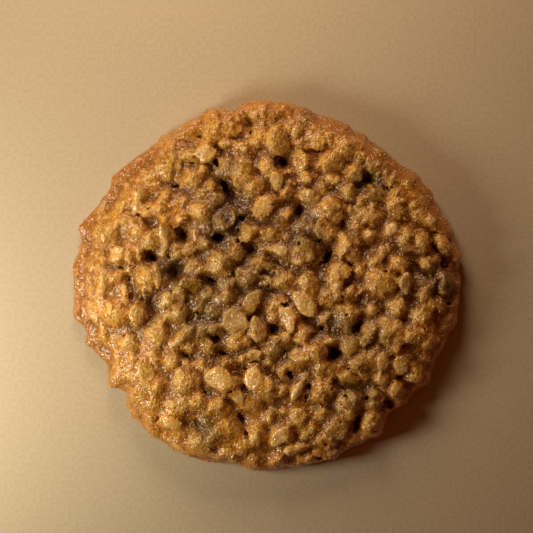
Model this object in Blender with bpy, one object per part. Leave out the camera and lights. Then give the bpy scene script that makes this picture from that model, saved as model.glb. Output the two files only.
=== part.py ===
"""An oatmeal cookie: one baked solid with a craggy top, a thin spread rim and oat flakes fused on.

Metres, +Z up. The cookie lies flat on Z = 0 and the origin is the middle of its box at the base.
The body starts as an ico sphere that is pressed into a disc of even triangles. A height rule then
gives it a low dome, a bead round the edge, mounds, hollows and crumbs, and Decimate keeps the
triangles where the relief needs them. Oat flakes are fused on by one Boolean union.
"""

import math
import random
from typing import NamedTuple

import bmesh
import bpy
import numpy as np
from mathutils import Matrix, Vector

MM = 0.001

# Driving dimensions, as real sizes.
CROWN_HEIGHT = 10.9 * MM  # mean top of the middle, before the crags
CENTRE_DIP = 0.7 * MM  # the middle sinks a little as the cookie cools
DIP_RADIUS = 17.0 * MM
LIP_HEIGHT = 3.8 * MM  # top of the bead that runs round the edge
LIP_ROUND = 1.5 * MM  # how far the bead curves inwards, top and bottom
SHOULDER_WIDTH = 8.0 * MM  # from the edge to where the steep part of the side ends
SHOULDER_SHARE = 0.74  # of the rise, that the steep part makes
DOME_REACH = 30.0 * MM  # from the edge to where the slow rise ends
SKIRT_WIDTH = 3.4 * MM  # the thin spread rim outside the main mass
SKIRT_FROM, SKIRT_TO = 133.0, 203.0  # degrees round the edge from +X, where that rim shows
SKIRT_FADE = 9.0
BARE_FROM, BARE_TO = 22.0, 74.0  # degrees, where the side is a smooth slope without crags
BARE_WIDTH = 5.0 * MM
CALM_FROM, CALM_TO = 206.0, 262.0  # degrees, where the crags are low and soft
CALM_WIDTH = 24.0 * MM
CALM_SHARE = 0.45  # of the relief, that is missing at the edge there

# Distance from the middle to the edge, in mm, every 15 degrees round from +X.
EDGE_MM = (
    48.5, 48.4, 47.1, 44.8, 45.0, 45.0, 46.4, 45.7, 45.5, 45.3, 46.6, 48.2,
    48.5, 48.0, 45.4, 46.4, 47.0, 46.1, 46.3, 46.4, 46.1, 46.0, 46.5, 47.7,
)


class Lobe(NamedTuple):
    """A small bulge or, where reach is negative, a notch in the edge: degrees and mm."""

    at: float
    half_width: float
    reach: float


EDGE_LOBES = (
    Lobe(211, 3.6, 1.5),
    Lobe(204, 3.0, -0.7),
    Lobe(307, 4.0, 1.9),
    Lobe(313, 3.0, -1.5),
    Lobe(328, 4.5, 0.9),
    Lobe(291, 4.0, 0.8),
    Lobe(100, 4.0, -0.9),
    Lobe(146, 6.0, 0.8),
    Lobe(353, 5.0, 0.7),
    Lobe(180, 3.5, 0.6),
)
EDGE_RIPPLE = 0.22 * MM

# Mounds of dough and oats.
MOUND_SEED = 41
MOUND_TRIES = 9000
MOUND_GAP = 0.86  # of the two radii, between neighbours
SMALL_MOUND, LARGE_MOUND = 1.9 * MM, 4.0 * MM
MOUND_STEEPNESS = (0.78, 1.05)  # rise as a share of the radius
VALLEY_DEPTH = 2.3 * MM  # how far the floor between mounds lies below the dome
BLEND_SHARPNESS = 3600.0  # of the smooth maximum that joins mounds, per metre
RIM_FADE = 2.6 * MM

CRUMB_SIZE = 1.5 * MM  # grain of the fine relief that the mesh can still carry
CRUMB_RISE = 0.28 * MM

# The mesh.
SPHERE_SUBDIVISIONS = 7
BEAD_SHARE = 0.055  # share of the sphere's height that becomes the bead at the edge
BODY_TRIANGLES = 6600
FLAT_WITHIN = 0.001 * MM

# Oat flakes that show as relief.
FLAKE_SEED = 7
FLAKE_COUNT = 40
FLAKE_TRIES = 4000
FLAKE_SPACING = 7.0 * MM
FLAKE_LENGTH = (4.6, 6.4)  # mm, of the flakes that are drawn at random
FLAKE_SLENDER = (0.66, 0.82)  # width as a share of length
FLAKE_REACH = 2.4 * MM  # from a flake's middle to where the dough under it is felt
FLAKE_THICKNESS = 1.5 * MM
FLAKE_LIFT = 0.15 * MM  # of its middle over the mean of the dough under it
FLAKE_TILT = math.radians(12.0)
FLAKE_EDGE_MARGIN = 5.5 * MM
FLAKE_SIDES, FLAKE_RINGS = 8, 4

CRUST_COLOUR = (0.42, 0.19, 0.055, 1.0)
CRUST_ROUGHNESS = 0.55


class Flake(NamedTuple):
    """A rolled oat flake: its middle, length and width in mm, and its turn in degrees."""

    x: float
    y: float
    length: float
    width: float
    turn: float


# The flakes that stand out on this cookie. The rest are drawn at random between them.
MAIN_FLAKES = (
    Flake(-7.9, -8.9, 7.2, 5.6, -30),
    Flake(-1.9, -11.2, 6.6, 4.8, 100),
    Flake(5.6, -8.4, 6.4, 4.4, -80),
    Flake(9.6, -4.9, 7.4, 4.0, -45),
    Flake(-3.3, -4.2, 6.4, 4.0, 60),
    Flake(-11.1, -23.4, 8.0, 6.0, 20),
    Flake(-3.0, -22.8, 6.4, 4.6, 60),
    Flake(7.5, -26.4, 6.2, 2.6, 52),
    Flake(3.2, -37.6, 6.8, 3.8, 40),
    Flake(-14.9, 32.9, 5.2, 4.2, 10),
    Flake(-0.4, 18.9, 6.4, 4.0, 30),
    Flake(34.1, 1.1, 5.2, 3.4, 80),
    Flake(28.5, -19.5, 4.8, 3.6, 95),
    Flake(33.2, -20.0, 5.0, 3.8, 70),
    Flake(-27.6, 3.0, 5.6, 3.2, 95),
    Flake(-25.2, -7.4, 5.4, 3.4, 85),
)


class Mound(NamedTuple):
    """A mound of dough: its middle, half length, half width and rise in mm, and its turn in degrees."""

    x: float
    y: float
    length: float
    width: float
    turn: float
    rise: float


# The mounds that give this cookie its look, area by area. The rest are drawn at random between them.
MAIN_MOUNDS = (
    # Back left.
    Mound(-10.8, 40.8, 5.6, 4.6, 150, 3.2),
    Mound(-13.6, 37.2, 3.0, 2.6, 0, 2.9),
    Mound(-10.4, 34.8, 1.8, 1.4, 20, 2.5),
    Mound(-25.6, 32.0, 6.2, 4.6, 45, 2.6),
    Mound(-21.4, 37.4, 2.6, 2.0, 30, 2.3),
    Mound(-29.4, 27.6, 3.6, 2.8, 50, 2.4),
    Mound(-31.8, 22.6, 3.0, 2.4, 40, 2.5),
    Mound(-35.4, 20.6, 3.2, 2.2, 60, 2.0),
    Mound(-32.2, 19.4, 1.9, 1.5, -50, 2.4),
    Mound(-15.0, 32.6, 2.9, 2.2, 10, 2.9),
    Mound(-19.4, 32.2, 2.2, 1.9, 0, 2.4),
    Mound(-18.2, 26.4, 2.6, 2.3, 60, 2.5),
    Mound(-13.6, 24.4, 1.7, 1.4, 0, 1.9),
    Mound(-25.0, 22.2, 2.2, 1.6, 20, 2.4),
    Mound(-20.6, 20.6, 2.0, 1.8, 0, 1.9),
    Mound(-16.2, 18.0, 3.2, 2.6, 150, 3.3),
    Mound(-21.0, 16.6, 2.2, 1.7, 60, 2.6),
    # Back middle.
    Mound(-0.6, 43.2, 5.4, 2.9, 0, 2.6),
    Mound(-1.8, 36.2, 2.9, 2.8, 0, 2.6),
    Mound(2.4, 36.0, 3.0, 2.6, 90, 2.3),
    Mound(5.0, 39.0, 2.4, 1.6, 150, 2.4),
    Mound(8.8, 41.6, 2.2, 1.9, 90, 2.6),
    Mound(-6.2, 34.0, 3.0, 1.9, 0, 2.0),
    Mound(-6.6, 27.8, 4.0, 3.4, 60, 3.3),
    Mound(-3.8, 24.0, 2.7, 2.4, 90, 3.1),
    Mound(2.6, 26.2, 2.5, 1.8, 80, 2.9),
    Mound(4.5, 22.8, 1.9, 1.5, 60, 2.5),
    Mound(-0.6, 19.6, 3.5, 2.3, 22, 3.0),
    Mound(10.3, 22.2, 2.3, 1.7, 20, 2.8),
    Mound(5.4, 17.4, 1.8, 1.6, 0, 2.2),
    Mound(9.2, 30.4, 2.2, 1.9, 0, 2.0),
    Mound(9.6, 26.6, 2.2, 1.9, 0, 2.0),
    Mound(8.0, 35.4, 2.2, 2.0, 0, 2.1),
    # Back right.
    Mound(13.2, 36.4, 3.2, 2.8, 30, 2.6),
    Mound(15.4, 30.8, 3.0, 2.4, 20, 3.0),
    Mound(18.8, 34.2, 3.0, 2.6, 110, 2.9),
    Mound(26.6, 29.4, 2.9, 2.3, 20, 2.4),
    Mound(22.0, 27.6, 2.4, 1.9, 70, 2.2),
    Mound(16.4, 26.0, 2.6, 1.3, -20, 2.6),
    Mound(20.2, 23.0, 2.6, 2.0, -50, 2.8),
    Mound(15.8, 18.8, 3.4, 3.2, 90, 3.3),
    Mound(26.8, 22.6, 2.4, 2.1, 60, 2.3),
    Mound(25.6, 16.8, 3.2, 1.9, 165, 2.6),
    Mound(32.4, 20.4, 4.2, 2.9, 105, 2.9),
    Mound(34.0, 25.6, 2.2, 1.5, 15, 2.2),
    Mound(36.8, 18.6, 3.2, 1.8, 110, 2.3),
    Mound(41.0, 16.2, 1.9, 1.5, 0, 2.0),
    # Left.
    Mound(-39.6, 12.4, 4.0, 2.5, 65, 2.5),
    Mound(-31.8, 13.0, 2.9, 2.3, 80, 2.9),
    Mound(-28.6, 11.0, 2.2, 1.5, 90, 2.5),
    Mound(-25.2, 13.6, 5.6, 1.7, 95, 3.2),
    Mound(-36.8, 7.2, 2.8, 2.3, 20, 2.8),
    Mound(-41.0, 1.0, 3.8, 2.5, 90, 2.8),
    Mound(-37.4, 1.6, 2.4, 2.0, 0, 2.2),
    Mound(-29.4, 1.5, 4.1, 3.6, 95, 3.7),
    Mound(-37.4, -6.8, 3.8, 3.6, 0, 3.1),
    Mound(-32.0, -7.2, 3.4, 2.2, 95, 3.1),
    Mound(-21.6, -1.6, 2.6, 2.2, 80, 2.5),
    Mound(-21.4, -7.0, 2.8, 2.4, 70, 2.6),
    Mound(-20.0, -11.6, 2.1, 2.0, 0, 2.4),
    Mound(-27.0, -12.6, 3.5, 2.9, 120, 2.6),
    Mound(-34.4, -14.2, 2.8, 2.2, 20, 2.0),
    Mound(-19.2, 8.8, 2.0, 1.8, 0, 2.1),
    Mound(-18.4, 4.4, 2.2, 1.8, 30, 1.9),
    Mound(-22.2, 7.4, 1.5, 1.3, 0, 2.0),
    # Middle.
    Mound(-11.4, 5.2, 4.0, 3.6, 70, 3.4),
    Mound(-16.4, 4.0, 1.8, 1.5, 90, 2.4),
    Mound(-7.0, 8.2, 1.9, 1.7, 0, 2.4),
    Mound(-3.6, 12.8, 2.7, 2.2, 30, 2.7),
    Mound(0.6, 12.6, 2.6, 2.2, 0, 2.5),
    Mound(3.8, 8.2, 2.5, 1.7, 160, 2.8),
    Mound(8.8, 8.0, 3.9, 3.4, 60, 3.1),
    Mound(-2.0, 5.4, 2.2, 1.7, 20, 2.2),
    Mound(-4.8, 1.7, 3.0, 2.4, 30, 2.7),
    Mound(3.6, 1.2, 3.1, 2.4, 10, 2.4),
    Mound(10.2, 0.4, 3.2, 2.8, 110, 3.0),
    Mound(-9.8, -3.2, 2.7, 2.2, 80, 2.5),
    Mound(-3.4, -4.0, 3.3, 2.3, 60, 2.6),
    Mound(1.8, -5.0, 2.6, 1.8, 60, 2.5),
    Mound(9.4, -4.8, 3.7, 2.1, -40, 2.8),
    Mound(13.6, -4.0, 2.3, 1.9, 60, 2.2),
    Mound(-7.8, -9.0, 3.6, 2.7, -35, 3.2),
    Mound(-6.4, -14.0, 3.0, 2.5, 160, 2.5),
    Mound(-1.9, -11.1, 3.1, 2.1, 110, 2.9),
    Mound(1.4, -8.2, 2.2, 1.6, 60, 2.4),
    Mound(5.4, -8.0, 3.0, 2.1, -75, 2.8),
    Mound(-16.4, -11.4, 2.3, 2.0, 60, 2.1),
    Mound(-13.2, -10.6, 2.2, 1.9, 0, 2.4),
    Mound(8.8, -12.6, 2.5, 2.1, 120, 2.5),
    Mound(12.4, -16.0, 3.1, 2.6, 20, 3.0),
    Mound(2.2, -16.2, 2.4, 2.0, 0, 2.0),
    # Right.
    Mound(20.6, 9.6, 3.3, 2.9, 30, 3.0),
    Mound(17.4, 2.2, 3.7, 2.7, 80, 3.0),
    Mound(25.4, 12.0, 1.8, 1.5, 0, 2.2),
    Mound(30.6, 13.6, 2.0, 1.6, 40, 2.5),
    Mound(34.6, 12.0, 3.0, 2.8, 0, 2.6),
    Mound(38.8, 10.6, 3.0, 2.4, 80, 2.5),
    Mound(26.8, 5.6, 2.1, 1.6, 20, 2.7),
    Mound(33.0, 5.0, 3.1, 2.1, 150, 3.1),
    Mound(28.4, 0.6, 4.4, 4.0, 120, 3.5),
    Mound(34.3, 0.2, 3.0, 1.6, 95, 3.1),
    Mound(39.6, 4.6, 2.8, 2.1, 140, 2.4),
    Mound(43.9, 9.6, 3.2, 2.2, 100, 2.3),
    Mound(43.6, 0.8, 3.6, 2.8, 140, 2.5),
    Mound(39.0, -2.6, 2.2, 1.8, 30, 2.2),
    Mound(32.4, -5.6, 3.2, 2.8, 100, 2.7),
    Mound(38.6, -7.8, 3.1, 2.8, 60, 2.8),
    Mound(19.8, -8.0, 3.7, 2.7, 100, 2.7),
    Mound(16.0, -4.6, 1.7, 1.5, 0, 2.1),
    Mound(30.0, -11.6, 2.9, 2.7, 0, 2.6),
    Mound(36.0, -12.2, 2.7, 2.4, 0, 2.5),
    Mound(40.6, -14.0, 2.4, 2.0, 60, 2.2),
    Mound(25.4, -12.6, 2.2, 1.9, 50, 2.3),
    Mound(15.6, -14.2, 1.6, 1.4, 0, 2.2),
    # Front.
    Mound(-11.4, -23.6, 4.2, 3.1, -10, 3.0),
    Mound(-7.4, -27.4, 2.2, 1.6, 120, 2.5),
    Mound(-3.2, -22.6, 3.2, 2.1, 80, 2.9),
    Mound(0.2, -26.0, 3.5, 2.9, 130, 3.0),
    Mound(4.2, -26.0, 1.9, 1.6, 60, 2.4),
    Mound(7.6, -26.2, 3.0, 1.1, 62, 2.5),
    Mound(13.6, -20.0, 3.4, 2.6, 80, 2.8),
    Mound(13.6, -26.4, 3.4, 3.0, 90, 2.7),
    Mound(-9.6, -36.4, 3.2, 2.6, 110, 2.4),
    Mound(3.4, -37.4, 3.3, 1.8, 42, 2.3),
    Mound(7.3, -40.8, 3.7, 1.4, 12, 2.1),
    Mound(-24.0, -33.8, 3.0, 1.9, 150, 2.3),
    Mound(-28.6, -33.2, 2.7, 1.6, 100, 2.1),
    Mound(17.2, -36.0, 3.6, 3.2, 30, 2.6),
    Mound(21.2, -29.4, 3.4, 2.7, 80, 2.5),
    Mound(22.4, -19.4, 2.2, 1.9, 0, 2.5),
    Mound(26.2, -17.8, 2.5, 2.2, 0, 2.5),
    Mound(28.8, -19.0, 2.7, 1.5, 80, 2.8),
    Mound(33.4, -20.0, 2.7, 2.2, 80, 2.8),
    Mound(28.6, -23.4, 2.1, 1.7, 100, 2.4),
    Mound(32.3, -26.4, 2.9, 2.3, 85, 3.0),
    Mound(37.2, -22.6, 2.7, 2.1, 60, 2.3),
    Mound(36.8, -28.0, 2.3, 1.5, 40, 1.9),
    Mound(27.0, -29.2, 2.4, 1.9, 60, 2.2),
    Mound(26.2, -35.4, 4.6, 2.9, 80, 2.7),
)


class Hollow(NamedTuple):
    """A pit or crevice: its middle, half length, half width and depth in mm, and its turn in degrees."""

    x: float
    y: float
    length: float
    width: float
    turn: float
    depth: float


HOLLOWS = (
    Hollow(-9.8, 24.2, 6.6, 1.7, 117, 3.6),
    Hollow(16.8, -17.2, 2.1, 1.8, 0, 4.6),
    Hollow(14.8, 6.6, 3.3, 1.6, 50, 4.4),
    Hollow(-22.8, 3.2, 2.4, 1.4, 60, 3.8),
    Hollow(-28.2, 6.8, 2.2, 1.1, 0, 3.8),
    Hollow(-27.0, -5.0, 3.0, 1.7, 100, 3.0),
    Hollow(4.2, 30.5, 1.9, 1.4, -45, 3.8),
    Hollow(8.0, 17.0, 3.6, 1.4, 80, 3.0),
    Hollow(-21.0, 12.0, 2.2, 1.3, 100, 3.4),
    Hollow(-11.6, 11.8, 2.4, 1.2, 15, 3.6),
    Hollow(42.2, 8.4, 5.0, 1.0, 115, 3.0),
    Hollow(44.8, 4.6, 2.4, 0.9, -30, 2.6),
    Hollow(-10.4, -17.2, 2.6, 1.2, 0, 3.0),
    Hollow(30.4, -29.8, 2.0, 1.1, 150, 3.2),
    Hollow(1.3, -10.9, 1.5, 0.9, 70, 3.2),
    Hollow(25.2, 26.2, 1.7, 1.2, 20, 3.0),
    Hollow(30.8, 24.2, 1.4, 1.0, 0, 2.6),
    Hollow(-22.7, 25.0, 1.7, 1.3, 60, 3.4),
    Hollow(-4.0, 38.6, 2.6, 1.0, 120, 3.0),
    Hollow(-16.4, 37.0, 1.5, 1.1, 0, 2.4),
    Hollow(-13.4, 1.2, 1.9, 1.1, -20, 3.2),
    Hollow(-4.0, 9.0, 2.0, 1.2, 0, 2.8),
    Hollow(-12.6, -13.4, 1.6, 0.9, 20, 2.8),
    Hollow(5.8, -22.0, 1.4, 1.1, 60, 3.0),
    Hollow(10.3, -25.0, 1.8, 0.8, 100, 2.6),
    Hollow(-5.6, -34.6, 5.2, 1.3, 111, 2.8),
    Hollow(22.4, -34.4, 3.4, 0.9, 75, 3.0),
    Hollow(-19.0, -35.4, 2.6, 1.6, 120, 2.2),
    Hollow(22.2, -11.0, 2.4, 1.0, 55, 2.8),
    Hollow(39.2, -11.0, 1.3, 0.9, 120, 2.8),
    Hollow(33.2, -22.9, 2.0, 0.8, 20, 2.4),
    Hollow(18.8, 15.0, 1.6, 1.0, 80, 2.8),
    Hollow(-31.0, -16.4, 1.9, 1.1, 60, 2.0),
    Hollow(-19.6, -17.4, 2.0, 0.9, -20, 2.4),
    Hollow(36.8, 3.8, 3.6, 1.3, 110, 1.8),
    Hollow(-29.2, 20.8, 2.6, 1.0, 40, 2.0),
)


def to_metres(shape):
    """A mound or hollow with its sizes in metres and its turn in radians."""
    x, y, length, width, turn, rise = shape
    return (x * MM, y * MM, length * MM, width * MM, math.radians(turn), rise * MM)


def smooth_step(value):
    """0 below 0, 1 above 1, and a smooth rise between."""
    clipped = np.clip(value, 0.0, 1.0)
    return clipped * clipped * (3.0 - 2.0 * clipped)


def angle_window(angle, first, last, fade):
    """1 between two angles in degrees, falling to 0 over fade on both sides."""
    middle, half = (first + last) / 2.0, (last - first) / 2.0
    away = np.abs((angle - middle + 180.0) % 360.0 - 180.0)
    return 1.0 - smooth_step((away - half) / fade)


def edge_radius(angle):
    """Distance from the middle to the cookie's edge at these angles in degrees."""
    count = len(EDGE_MM)
    radii = np.array(EDGE_MM) * MM
    place = (angle % 360.0) / (360.0 / count)
    first = np.floor(place).astype(int) % count
    share = place - np.floor(place)
    before, here = radii[first - 1], radii[first]
    after, later = radii[(first + 1) % count], radii[(first + 2) % count]
    slope_here, slope_after = (after - before) / 2.0, (later - here) / 2.0
    radius = (
        here * (1.0 + 2.0 * share) * (1.0 - share) ** 2
        + slope_here * share * (1.0 - share) ** 2
        + after * share**2 * (3.0 - 2.0 * share)
        + slope_after * share**2 * (share - 1.0)
    )
    for lobe in EDGE_LOBES:
        away = ((angle - lobe.at + 180.0) % 360.0 - 180.0) / lobe.half_width
        radius += lobe.reach * MM * np.exp(-(away**2))
    turn = np.radians(angle)
    ripple = np.sin(23 * turn + 1.0) + 0.8 * np.sin(37 * turn + 2.4) + 0.6 * np.sin(53 * turn)
    return radius + EDGE_RIPPLE * ripple


def inside_distance(x, y):
    """How far these points lie inside the edge, measured towards the middle."""
    angle = np.degrees(np.arctan2(y, x))
    return edge_radius(angle) - np.hypot(x, y)


def dome_height(x, y):
    """Top of the plain dome: plateau, shoulder, spread rim and the sunken middle."""
    angle = np.degrees(np.arctan2(y, x))
    inside = inside_distance(x, y)
    skirt = SKIRT_WIDTH * angle_window(angle, SKIRT_FROM, SKIRT_TO, SKIRT_FADE)
    steep = np.clip((inside - skirt) / SHOULDER_WIDTH, 0.0, 1.0)
    slow = np.clip((inside - skirt) / DOME_REACH, 0.0, 1.0)
    climb = SHOULDER_SHARE * np.sqrt(steep * (2.0 - steep)) + (1.0 - SHOULDER_SHARE) * slow * (2.0 - slow)
    dip = CENTRE_DIP * np.exp(-(x * x + y * y) / DIP_RADIUS**2)
    return LIP_HEIGHT + (CROWN_HEIGHT - LIP_HEIGHT) * climb - dip


def relief_share(x, y):
    """How much of the crags shows: none at the very edge, little on the skirt and the bare side."""
    angle = np.degrees(np.arctan2(y, x))
    inside = inside_distance(x, y)
    skirt = SKIRT_WIDTH * angle_window(angle, SKIRT_FROM, SKIRT_TO, SKIRT_FADE)
    bare = BARE_WIDTH * angle_window(angle, BARE_FROM, BARE_TO, SKIRT_FADE)
    share = 0.12 + 0.88 * smooth_step((inside - np.maximum(skirt, bare)) / RIM_FADE)
    calm = angle_window(angle, CALM_FROM, CALM_TO, SKIRT_FADE) * (1.0 - smooth_step(inside / CALM_WIDTH))
    return share * (1.0 - CALM_SHARE * calm)


def oval_distance(x, y, shape):
    """Squared distance from an oval's middle, where its outline is 1."""
    middle_x, middle_y, length, width, turn, _ = shape
    along = (x - middle_x) * math.cos(turn) + (y - middle_y) * math.sin(turn)
    across = (y - middle_y) * math.cos(turn) - (x - middle_x) * math.sin(turn)
    return (along / length) ** 2 + (across / width) ** 2


def scattered_mounds():
    """The main mounds, then random smaller ones wherever there is room between them."""
    rng = random.Random(MOUND_SEED)
    mounds = [to_metres(mound) for mound in MAIN_MOUNDS]
    for _ in range(MOUND_TRIES):
        angle = rng.uniform(0.0, 360.0)
        reach = edge_radius(np.array([angle]))[0] * math.sqrt(rng.random())
        x, y = reach * math.cos(math.radians(angle)), reach * math.sin(math.radians(angle))
        radius = rng.uniform(SMALL_MOUND, LARGE_MOUND) * rng.uniform(0.75, 1.0)
        slender = rng.uniform(0.62, 1.0)
        rise = radius * rng.uniform(*MOUND_STEEPNESS)
        room = all(
            math.hypot(x - other[0], y - other[1])
            > MOUND_GAP * (radius + math.sqrt(other[2] * other[3]))
            for other in mounds
        )
        if room:
            mounds.append((x, y, radius, radius * slender, rng.uniform(0.0, math.pi), rise))
    return mounds


def crumb_relief(x, y):
    """Fine, uneven grain: a few turned waves multiplied together."""
    u, v = x / CRUMB_SIZE, y / CRUMB_SIZE
    first = np.sin(2.1 * u + 1.7 * np.sin(0.7 * v)) * np.sin(1.9 * v + 1.3 * np.sin(0.9 * u))
    second = np.sin(1.3 * u - 1.6 * v + 1.1) * np.sin(1.2 * u + 1.1 * v + 0.4)
    return CRUMB_RISE * (0.6 * first + 0.4 * second)


def top_height(x, y, mounds):
    """Height of the craggy top: mounds joined by a smooth maximum, less the hollows."""
    summed = np.full_like(x, 1.0)
    for mound in mounds:
        cap = mound[5] * np.clip(1.0 - oval_distance(x, y, mound), 0.0, None) ** 0.62
        summed += np.exp(BLEND_SHARPNESS * cap) - 1.0
    relief = np.log(summed) / BLEND_SHARPNESS - VALLEY_DEPTH
    for hollow in map(to_metres, HOLLOWS):
        relief -= hollow[5] * np.exp(-1.1 * oval_distance(x, y, hollow) ** 1.3)
    relief += crumb_relief(x, y)
    return dome_height(x, y) + relief * relief_share(x, y)


def pressed_flat(points, mounds):
    """Turns points of a unit sphere into points of the cookie.

    The sphere's height says how far in a point lies, so the triangles stay even. The band at the
    equator becomes the round bead, what is above it the top, and what is below it the flat base.
    """
    across = np.maximum(np.hypot(points[:, 0], points[:, 1]), 1e-9)
    angle = np.degrees(np.arctan2(points[:, 1], points[:, 0]))
    level = points[:, 2]
    edge = edge_radius(angle)
    on_bead = np.abs(level) < BEAD_SHARE
    bead_turn = np.clip(level / BEAD_SHARE, -1.0, 1.0) * math.pi / 2.0
    inner = edge - LIP_ROUND
    share = np.sqrt(np.clip(1.0 - (np.abs(level) - BEAD_SHARE) / (1.0 - BEAD_SHARE), 0.0, 1.0))
    reach = np.where(on_bead, inner + LIP_ROUND * np.cos(bead_turn), inner * share)
    x, y = reach * points[:, 0] / across, reach * points[:, 1] / across
    top = top_height(x, y, mounds)
    middle = top / 2.0
    height = np.where(on_bead, middle + middle * np.sin(bead_turn), np.where(level > 0, top, 0.0))
    return np.column_stack([x, y, height])


def only_selected(obj):
    """Makes this object the active one and the only one selected."""
    bpy.ops.object.select_all(action="DESELECT")
    obj.select_set(True)
    bpy.context.view_layer.objects.active = obj


def apply_modifier(obj, modifier):
    """Applies a modifier to the object's mesh."""
    only_selected(obj)
    bpy.ops.object.modifier_apply(modifier=modifier.name)


def make_crust():
    """Golden brown, half matt crust."""
    crust = bpy.data.materials.new("crust")
    crust.use_nodes = True
    shader = crust.node_tree.nodes["Principled BSDF"]
    shader.inputs["Base Color"].default_value = CRUST_COLOUR
    shader.inputs["Roughness"].default_value = CRUST_ROUGHNESS
    shader.inputs["Metallic"].default_value = 0.0
    return crust


def make_body(mounds):
    """The dough: a sphere pressed into the cookie's shape, thinned where it is smooth."""
    bpy.ops.mesh.primitive_ico_sphere_add(subdivisions=SPHERE_SUBDIVISIONS, radius=1.0)
    body = bpy.context.active_object
    body.name = body.data.name = "cookie"
    points = np.empty(len(body.data.vertices) * 3, np.float32)
    body.data.vertices.foreach_get("co", points)
    pressed = pressed_flat(points.reshape(-1, 3).astype(float), mounds)
    body.data.vertices.foreach_set("co", pressed.astype(np.float32).ravel())
    body.data.update()
    thin = body.modifiers.new("thin", "DECIMATE")
    thin.ratio = BODY_TRIANGLES / len(body.data.polygons)
    thin.use_collapse_triangulate = True
    apply_modifier(body, thin)
    return body


def surface_frame(x, y, mounds):
    """Mean height and upward normal of the top under a flake that lies here."""
    step = FLAKE_REACH
    xs = np.array([x, x + step, x - step, x, x])
    ys = np.array([y, y, y, y + step, y - step])
    heights = top_height(xs, ys, mounds)
    slope_x = (heights[1] - heights[2]) / (2.0 * step)
    slope_y = (heights[3] - heights[4]) / (2.0 * step)
    return heights.mean(), Vector((-slope_x, -slope_y, 1.0)).normalized()


def all_flakes(rng):
    """The main flakes, then random ones, a spacing apart and clear of the edge."""
    flakes = list(MAIN_FLAKES)
    for _ in range(FLAKE_TRIES):
        angle, reach = rng.uniform(0.0, 2.0 * math.pi), 50.0 * math.sqrt(rng.random())
        x, y = reach * math.cos(angle), reach * math.sin(angle)
        inside = inside_distance(np.array([x * MM]), np.array([y * MM]))[0]
        near = min(math.hypot(x - flake.x, y - flake.y) for flake in flakes)
        if len(flakes) < FLAKE_COUNT and inside > FLAKE_EDGE_MARGIN and near > FLAKE_SPACING / MM:
            length = rng.uniform(*FLAKE_LENGTH)
            width = length * rng.uniform(*FLAKE_SLENDER)
            flakes.append(Flake(x, y, length, width, rng.uniform(0.0, 180.0)))
    return flakes


def make_flake(flake, mounds, rng, collection):
    """One rolled oat flake: a flattened sphere that lies on the dough."""
    mesh = bpy.data.meshes.new("oat_flake")
    ball = bmesh.new()
    bmesh.ops.create_uvsphere(ball, u_segments=FLAKE_SIDES, v_segments=FLAKE_RINGS, radius=0.5)
    ball.to_mesh(mesh)
    ball.free()
    x, y = flake.x * MM, flake.y * MM
    height, normal = surface_frame(x, y, mounds)
    lean = Vector((rng.uniform(-1, 1), rng.uniform(-1, 1), 0.0)) * math.tan(FLAKE_TILT)
    lie = (normal + lean).normalized().to_track_quat("Z", "Y").to_matrix().to_4x4()
    spin = Matrix.Rotation(math.radians(flake.turn), 4, "Z")
    size = Matrix.Diagonal((flake.length * MM, flake.width * MM, FLAKE_THICKNESS, 1.0))
    mesh.transform(Matrix.Translation((x, y, height + FLAKE_LIFT)) @ lie @ spin @ size)
    obj = bpy.data.objects.new("oat_flake", mesh)
    collection.objects.link(obj)
    return obj


def fuse_flakes(body, mounds):
    """Joins the flakes to the dough by one Boolean union, then removes the loose flakes."""
    rng = random.Random(FLAKE_SEED)
    loose = bpy.data.collections.new("loose_flakes")
    bpy.context.scene.collection.children.link(loose)
    flakes = [make_flake(flake, mounds, rng, loose) for flake in all_flakes(rng)]
    fuse = body.modifiers.new("fuse", "BOOLEAN")
    fuse.operation = "UNION"
    fuse.operand_type = "COLLECTION"
    fuse.collection = loose
    fuse.solver = "MANIFOLD"
    apply_modifier(body, fuse)
    for flake in flakes:
        bpy.data.objects.remove(flake)
    bpy.data.collections.remove(loose)


def keep_largest_shell(body):
    """Drops loose scraps and the walls of any hollow that fusing has sealed."""
    shell = bmesh.new()
    shell.from_mesh(body.data)
    unseen = set(shell.verts)
    shells = []
    while unseen:
        found = [unseen.pop()]
        for vert in found:
            for edge in vert.link_edges:
                other = edge.other_vert(vert)
                if other in unseen:
                    unseen.discard(other)
                    found.append(other)
        shells.append(found)
    largest = max(shells, key=len)
    scraps = [vert for found in shells if found is not largest for vert in found]
    bmesh.ops.delete(shell, geom=scraps, context="VERTS")
    shell.to_mesh(body.data)
    shell.free()


def join_base_faces(body):
    """Makes the flat base one face."""
    base = bmesh.new()
    base.from_mesh(body.data)
    flat = [face for face in base.faces if all(abs(vert.co.z) < FLAT_WITHIN for vert in face.verts)]
    bmesh.ops.dissolve_faces(base, faces=flat, use_verts=True)
    base.to_mesh(body.data)
    base.free()


def centre_on_base(body):
    """Moves the mesh so that the origin is the middle of its box, at the base."""
    points = np.empty(len(body.data.vertices) * 3, np.float32)
    body.data.vertices.foreach_get("co", points)
    points = points.reshape(-1, 3)
    low, high = points.min(0), points.max(0)
    body.data.transform(Matrix.Translation((-(low[0] + high[0]) / 2, -(low[1] + high[1]) / 2, -low[2])))


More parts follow.
